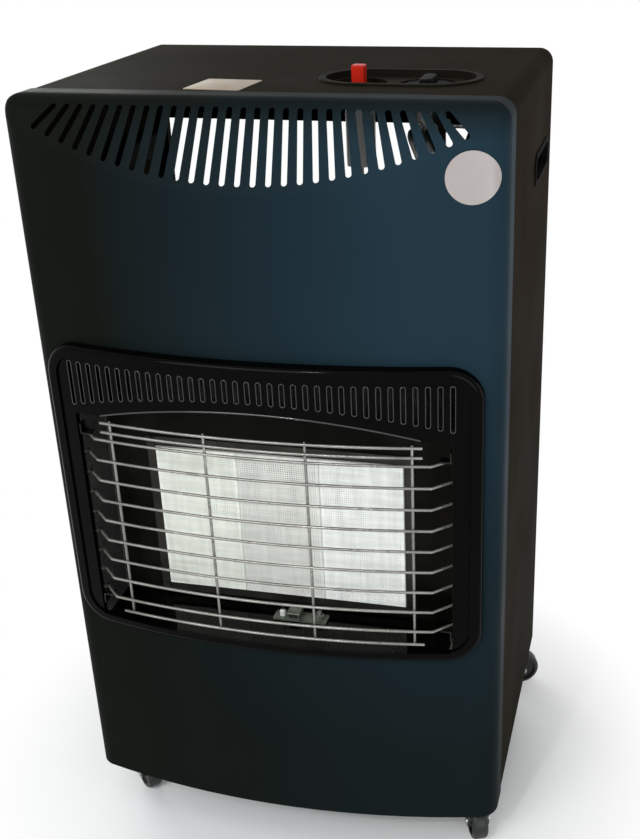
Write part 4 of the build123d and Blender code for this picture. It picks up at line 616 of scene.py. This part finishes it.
bpy.ops.mesh.primitive_circle_add(vertices=48, radius=bareDisc["diameter"] / 2, fill_type="NGON",
                                  location=(0, 0, 0), rotation=(math.pi / 2, 0, 0))
disc = bpy.context.active_object
placeInMesh(disc)
editPiece(disc)
bpy.ops.mesh.select_mode(type="FACE")
bpy.ops.mesh.select_all(action="SELECT")
for ring in range(bareDisc["rings"]):
    bpy.ops.mesh.inset(thickness=bareDisc["diameter"] / 20)
bpy.ops.mesh.poke()
bpy.ops.object.mode_set(mode="OBJECT")
disc.location = (bareDisc["x"], bareDisc["start"], bareDisc["z"])
placeInMesh(disc)
wrapOn = disc.modifiers.new("onPanel", "SHRINKWRAP")
wrapOn.target = nodes["front_panel"]
wrapOn.wrap_method = "PROJECT"
wrapOn.use_project_y = True
wrapOn.use_positive_direction = True
wrapOn.use_negative_direction = False
wrapOn.offset = bareDisc["lift"]
bpy.ops.object.modifier_apply(modifier=wrapOn.name)
skin = disc.modifiers.new("thickness", "SOLIDIFY")
skin.thickness = bareDisc["thick"]
skin.offset = 1
bpy.ops.object.modifier_apply(modifier=skin.name)
smoothPiece(disc, 40)
finishPiece(disc, "bareDisc", "discEnamel", "cabinet", "white_plastic")
print("bare plate and disc done")


# rolled lips round the slots of the surround and along its arch; the rings are turned so that none of
# their corners lies at half height
slotLips = {"count": 35, "pitch": 0.01002, "width": 0.0042, "middleLength": 0.0205, "endLength": 0.042,
            "topZ": 0.5085, "faceY": -0.1750, "bow": 0.725, "round": 0.00042, "sunk": 0.0001,
            "corners": 20, "turn": 9}
archLip = {"half": 0.1440, "middleZ": 0.4790, "sideZ": 0.4595, "halfArch": 0.145, "round": 0.0009,
           "steps": 36, "inside": 0.0005}


def faceDepth(x):
    return slotLips["faceY"] + slotLips["bow"] - math.sqrt(slotLips["bow"] ** 2 - x ** 2)


bpy.ops.mesh.primitive_torus_add(major_segments=slotLips["corners"], minor_segments=8,
                                 major_radius=slotLips["width"] / 2, minor_radius=slotLips["round"],
                                 location=(0, 0, 0),
                                 rotation=(math.pi / 2, math.radians(slotLips["turn"]), 0))
plainRing = bpy.context.active_object
placeInMesh(plainRing)
lips = []
reach = (slotLips["count"] - 1) / 2 * slotLips["pitch"]
for n in range(slotLips["count"]):
    x = (n - (slotLips["count"] - 1) / 2) * slotLips["pitch"]
    grown = (slotLips["endLength"] - slotLips["middleLength"]) * (x / reach) ** 2
    length = slotLips["middleLength"] + grown
    lip = copyTo(plainRing, (0, 0, 0))
    editPiece(lip)
    for side in (1, -1):
        pickVerts(lip, lambda vert: vert.co.z * side > 0)
        bpy.ops.transform.translate(value=(0, 0, side * (length - slotLips["width"]) / 2))
    deselectAll()
    lip.rotation_euler = (0, 0, math.asin(x / slotLips["bow"]))
    lip.location = (x, faceDepth(x) + slotLips["sunk"], slotLips["topZ"] - length / 2)
    placeInMesh(lip)
    lips.append(lip)
bpy.data.objects.remove(plainRing)

archRise = archLip["middleZ"] - archLip["sideZ"]
archRadius = (archLip["halfArch"] ** 2 + archRise ** 2) / (2 * archRise)
bpy.ops.mesh.primitive_circle_add(vertices=8, radius=archLip["round"], location=(0, 0, archLip["middleZ"]),
                                  rotation=(0, math.pi / 2, 0))
arch = bpy.context.active_object
placeInMesh(arch)
editPiece(arch)
bpy.ops.mesh.select_all(action="SELECT")
sweep = math.asin(archLip["half"] / archRadius)
centre = (0, 0, archLip["middleZ"] - archRadius)
bpy.ops.transform.rotate(value=sweep, orient_axis="Y", center_override=centre)
bpy.ops.mesh.spin(steps=archLip["steps"], angle=-2 * sweep, center=centre, axis=(0, 1, 0))
# each ring of the lip moves back with the bow of the face
rings = {}
for n, vert in enumerate(bmesh.from_edit_mesh(arch.data).verts):
    angle = math.atan2(vert.co.x, vert.co.z - centre[2])
    rings.setdefault(round(angle / sweep * archLip["steps"] / 2), []).append(n)
for members in rings.values():
    verts = bmesh.from_edit_mesh(arch.data).verts
    across = [vert.co.x for n, vert in enumerate(verts) if n in members]
    pickVerts(arch, lambda vert: vert.index in members)
    back = faceDepth(sum(across) / len(across)) + archLip["inside"]
    bpy.ops.transform.translate(value=(0, back, 0))
pickOpenEdges()
bpy.ops.mesh.fill(use_beauty=False)
deselectAll()
for lip in lips + [arch]:
    lip.select_set(True)
bpy.context.view_layer.objects.active = lips[0]
bpy.ops.object.join()
rolledLips = bpy.context.active_object
editPiece(rolledLips)
bpy.ops.mesh.select_all(action="SELECT")
bpy.ops.mesh.normals_make_consistent(inside=False)
smoothPiece(rolledLips, 60)
finishPiece(rolledLips, "rolledLips", "lipEnamel", "cabinet", "surround")
print("lips done")


# rounded caster wheels: tread, rim, recess and hub
casterWheel = {"radius": 0.020, "width": 0.016, "round": 0.0037, "rim": 0.0048, "recess": 0.0026,
               "web": 0.0072, "hubRise": 0.0020, "axleZ": 0.020, "trail": 0.018, "sides": 48,
               "side": 0.00005, "wall": 0.0007, "hubWall": 0.0005, "cap": 0.0016,
               "swivels": {"front_right": (0.182, -0.100, -68), "front_left": (-0.182, -0.100, -45),
                           "rear_right": (0.182, 0.143, 20), "rear_left": (-0.182, 0.143, 160)}}


def modelWheel():
    caster = casterWheel
    bpy.ops.mesh.primitive_cylinder_add(vertices=caster["sides"], radius=caster["radius"],
                                        depth=caster["width"] - 2 * caster["side"], location=(0, 0, 0),
                                        rotation=(math.pi / 2, 0, 0))
    wheel = bpy.context.active_object
    placeInMesh(wheel)
    editPiece(wheel)
    bpy.ops.mesh.select_mode(type="FACE")
    pickFaces(wheel, lambda f: abs(f.normal.y) > 0.9)
    bpy.ops.mesh.inset(use_individual=True, thickness=caster["rim"])
    bpy.ops.mesh.inset(use_individual=True, thickness=caster["wall"], depth=-caster["recess"])
    bpy.ops.mesh.inset(use_individual=True, thickness=caster["web"])
    bpy.ops.mesh.inset(use_individual=True, thickness=caster["hubWall"], depth=caster["hubRise"])
    bpy.ops.mesh.inset(use_individual=True, thickness=caster["cap"])
    # rounded shoulders of the tread
    bpy.ops.mesh.select_mode(type="EDGE")
    shape = bmesh.from_edit_mesh(wheel.data)
    for edge in shape.edges:
        middle = (edge.verts[0].co + edge.verts[1].co) / 2
        aside = abs(edge.verts[0].co.y - edge.verts[1].co.y)
        edge.select = math.hypot(middle.x, middle.z) > caster["radius"] * 0.99 and aside < 0.0001
    bmesh.update_edit_mesh(wheel.data)
    bpy.ops.mesh.bevel(affect="EDGES", offset=caster["round"], segments=4)
    bpy.ops.mesh.select_all(action="SELECT")
    bpy.ops.mesh.normals_make_consistent(inside=False)
    smoothPiece(wheel, 35)
    return wheel


firstWheel = modelWheel()
for corner, (x, y, heading) in casterWheel["swivels"].items():
    wheel = copyTo(firstWheel, (0, 0, 0))
    turn = math.radians(heading)
    wheel.rotation_euler = (0, 0, turn)
    wheel.location = (x + casterWheel["trail"] * math.cos(turn), y + casterWheel["trail"] * math.sin(turn),
                      casterWheel["axleZ"])
    finishPiece(wheel, "roundedWheel_" + corner, "wheelRubber", "wheel_" + corner, "wheel",
                "caster_wheel_" + corner)
bpy.data.objects.remove(firstWheel)
print("wheels done")


# floor, light and camera; the floor fades to the white background from nearShade to farShade
studio = {"floorTone": 0.93, "nearShade": 0.20, "farShade": 0.38, "skyDiffuse": 0.62,
          "skyTint": (0.96, 0.98, 1.0)}
lamps = {"keyLight": {"power": 31.0, "size": 1.3, "place": (-0.9, -2.2, 1.8), "aim": (0, 0, 0.4),
                      "tint": (0.98, 1.0, 0.99)},
         "fillLight": {"power": 12.0, "size": 0.9, "place": (1.3, -1.9, 0.45), "aim": (0, 0, 0.4),
                       "tint": (0.72, 0.92, 1.0)},
         "sparkLight": {"power": 9.0, "size": 0.10, "place": (-0.35, -2.3, 2.2), "aim": (0, 0, 0.4),
                        "tint": (1, 1, 1)},
         "warmLight": {"power": 6.0, "size": 1.2, "place": (2.2, 0.9, 0.6), "aim": (0, 0, 0.4),
                       "tint": (1.0, 0.72, 0.48)},
         "backLight": {"power": 24.0, "size": 1.0, "place": (-1.7, 2.0, 1.0), "aim": (0, 0, 0.6),
                       "tint": (0.95, 1.0, 0.94)}}


# 1 for rays that should meet the background: seen by the camera, in a reflection or through glass
def addShownRays(tree):
    rays = tree.nodes.new("ShaderNodeLightPath").outputs
    seen = addMath(tree, "MAXIMUM", rays["Is Camera Ray"], rays["Is Glossy Ray"])
    return addMath(tree, "MAXIMUM", seen, rays["Is Transmission Ray"])


bpy.ops.mesh.primitive_plane_add(size=60, location=(0, 20, 0))
floor = bpy.context.active_object
floor.name = "studioFloor"
floorFinish, tree, shader, coords = startFinish("studioFloorPaint")
paper = addNoise(tree, coords, 2.0, 2.0)
tone = studio["floorTone"]
paperTones = addRamp(tree, paper, [(0.3, (tone * 0.99,) * 3), (0.7, (tone,) * 3)])
tree.links.new(paperTones, shader.inputs["Base Color"])
shader.inputs["Roughness"].default_value = 0.9
shader.inputs["Specular IOR Level"].default_value = 0.1
away = tree.nodes.new("ShaderNodeVectorMath")
away.operation = "LENGTH"
geometry = tree.nodes.new("ShaderNodeNewGeometry")
tree.links.new(geometry.outputs["Position"], away.inputs[0])
fade = addRange(tree, away.outputs["Value"], studio["nearShade"], studio["farShade"], 0.0, 1.0)
share = addMath(tree, "MULTIPLY", addShownRays(tree), fade)
glow = tree.nodes.new("ShaderNodeEmission")
mixShader = tree.nodes.new("ShaderNodeMixShader")
tree.links.new(share, mixShader.inputs["Fac"])
tree.links.new(shader.outputs["BSDF"], mixShader.inputs[1])
tree.links.new(glow.outputs["Emission"], mixShader.inputs[2])
tree.links.new(mixShader.outputs["Shader"], tree.nodes["Material Output"].inputs["Surface"])
floor.data.materials.append(floorFinish)

world = bpy.data.worlds.new("studioWorld")
bpy.context.scene.world = world
world.use_nodes = True
tree = world.node_tree
plainSky = tree.nodes["Background"]
plainSky.inputs["Color"].default_value = (*studio["skyTint"], 1)
plainSky.inputs["Strength"].default_value = studio["skyDiffuse"]
shownSky = tree.nodes.new("ShaderNodeBackground")
shownSky.inputs["Color"].default_value = (1, 1, 1, 1)
shownSky.inputs["Strength"].default_value = 1.0
mixSky = tree.nodes.new("ShaderNodeMixShader")
tree.links.new(addShownRays(tree), mixSky.inputs["Fac"])
tree.links.new(plainSky.outputs["Background"], mixSky.inputs[1])
tree.links.new(shownSky.outputs["Background"], mixSky.inputs[2])
tree.links.new(mixSky.outputs["Shader"], tree.nodes["World Output"].inputs["Surface"])

for name, look in lamps.items():
    lamp = bpy.data.lights.new(name, "AREA")
    lamp.energy = look["power"]
    lamp.shape = "SQUARE"
    lamp.size = look["size"]
    lamp.color = look["tint"]
    holder = bpy.data.objects.new(name, lamp)
    bpy.context.scene.collection.objects.link(holder)
    holder.location = look["place"]
    heading = Vector(look["aim"]) - Vector(look["place"])
    holder.rotation_euler = heading.to_track_quat("-Z", "Y").to_euler()

shot = {"place": (0.32990, -1.04295, 0.89063), "yaw": 0.2359, "pitch": 0.4478, "roll": -0.0239,
        "focalPixels": 1202.92, "middleX": 389.94, "middleY": 444.39, "wide": 640, "high": 839,
        "sensor": 36.0}
cameraData = bpy.data.cameras.new("shotCamera")
camera = bpy.data.objects.new("shotCamera", cameraData)
bpy.context.scene.collection.objects.link(camera)
cameraData.sensor_width = shot["sensor"]
cameraData.lens = shot["focalPixels"] / shot["high"] * cameraData.sensor_width
cameraData.shift_x = (shot["wide"] / 2 - shot["middleX"]) / shot["high"]
cameraData.shift_y = (shot["middleY"] - shot["high"] / 2) / shot["high"]
turned = (Matrix.Rotation(shot["yaw"], 4, "Z") @ Matrix.Rotation(math.pi / 2 - shot["pitch"], 4, "X")
          @ Matrix.Rotation(shot["roll"], 4, "Z"))
camera.matrix_world = Matrix.Translation(shot["place"]) @ turned
bpy.context.scene.camera = camera
bpy.context.scene.view_settings.view_transform = "Standard"
print("studio done")
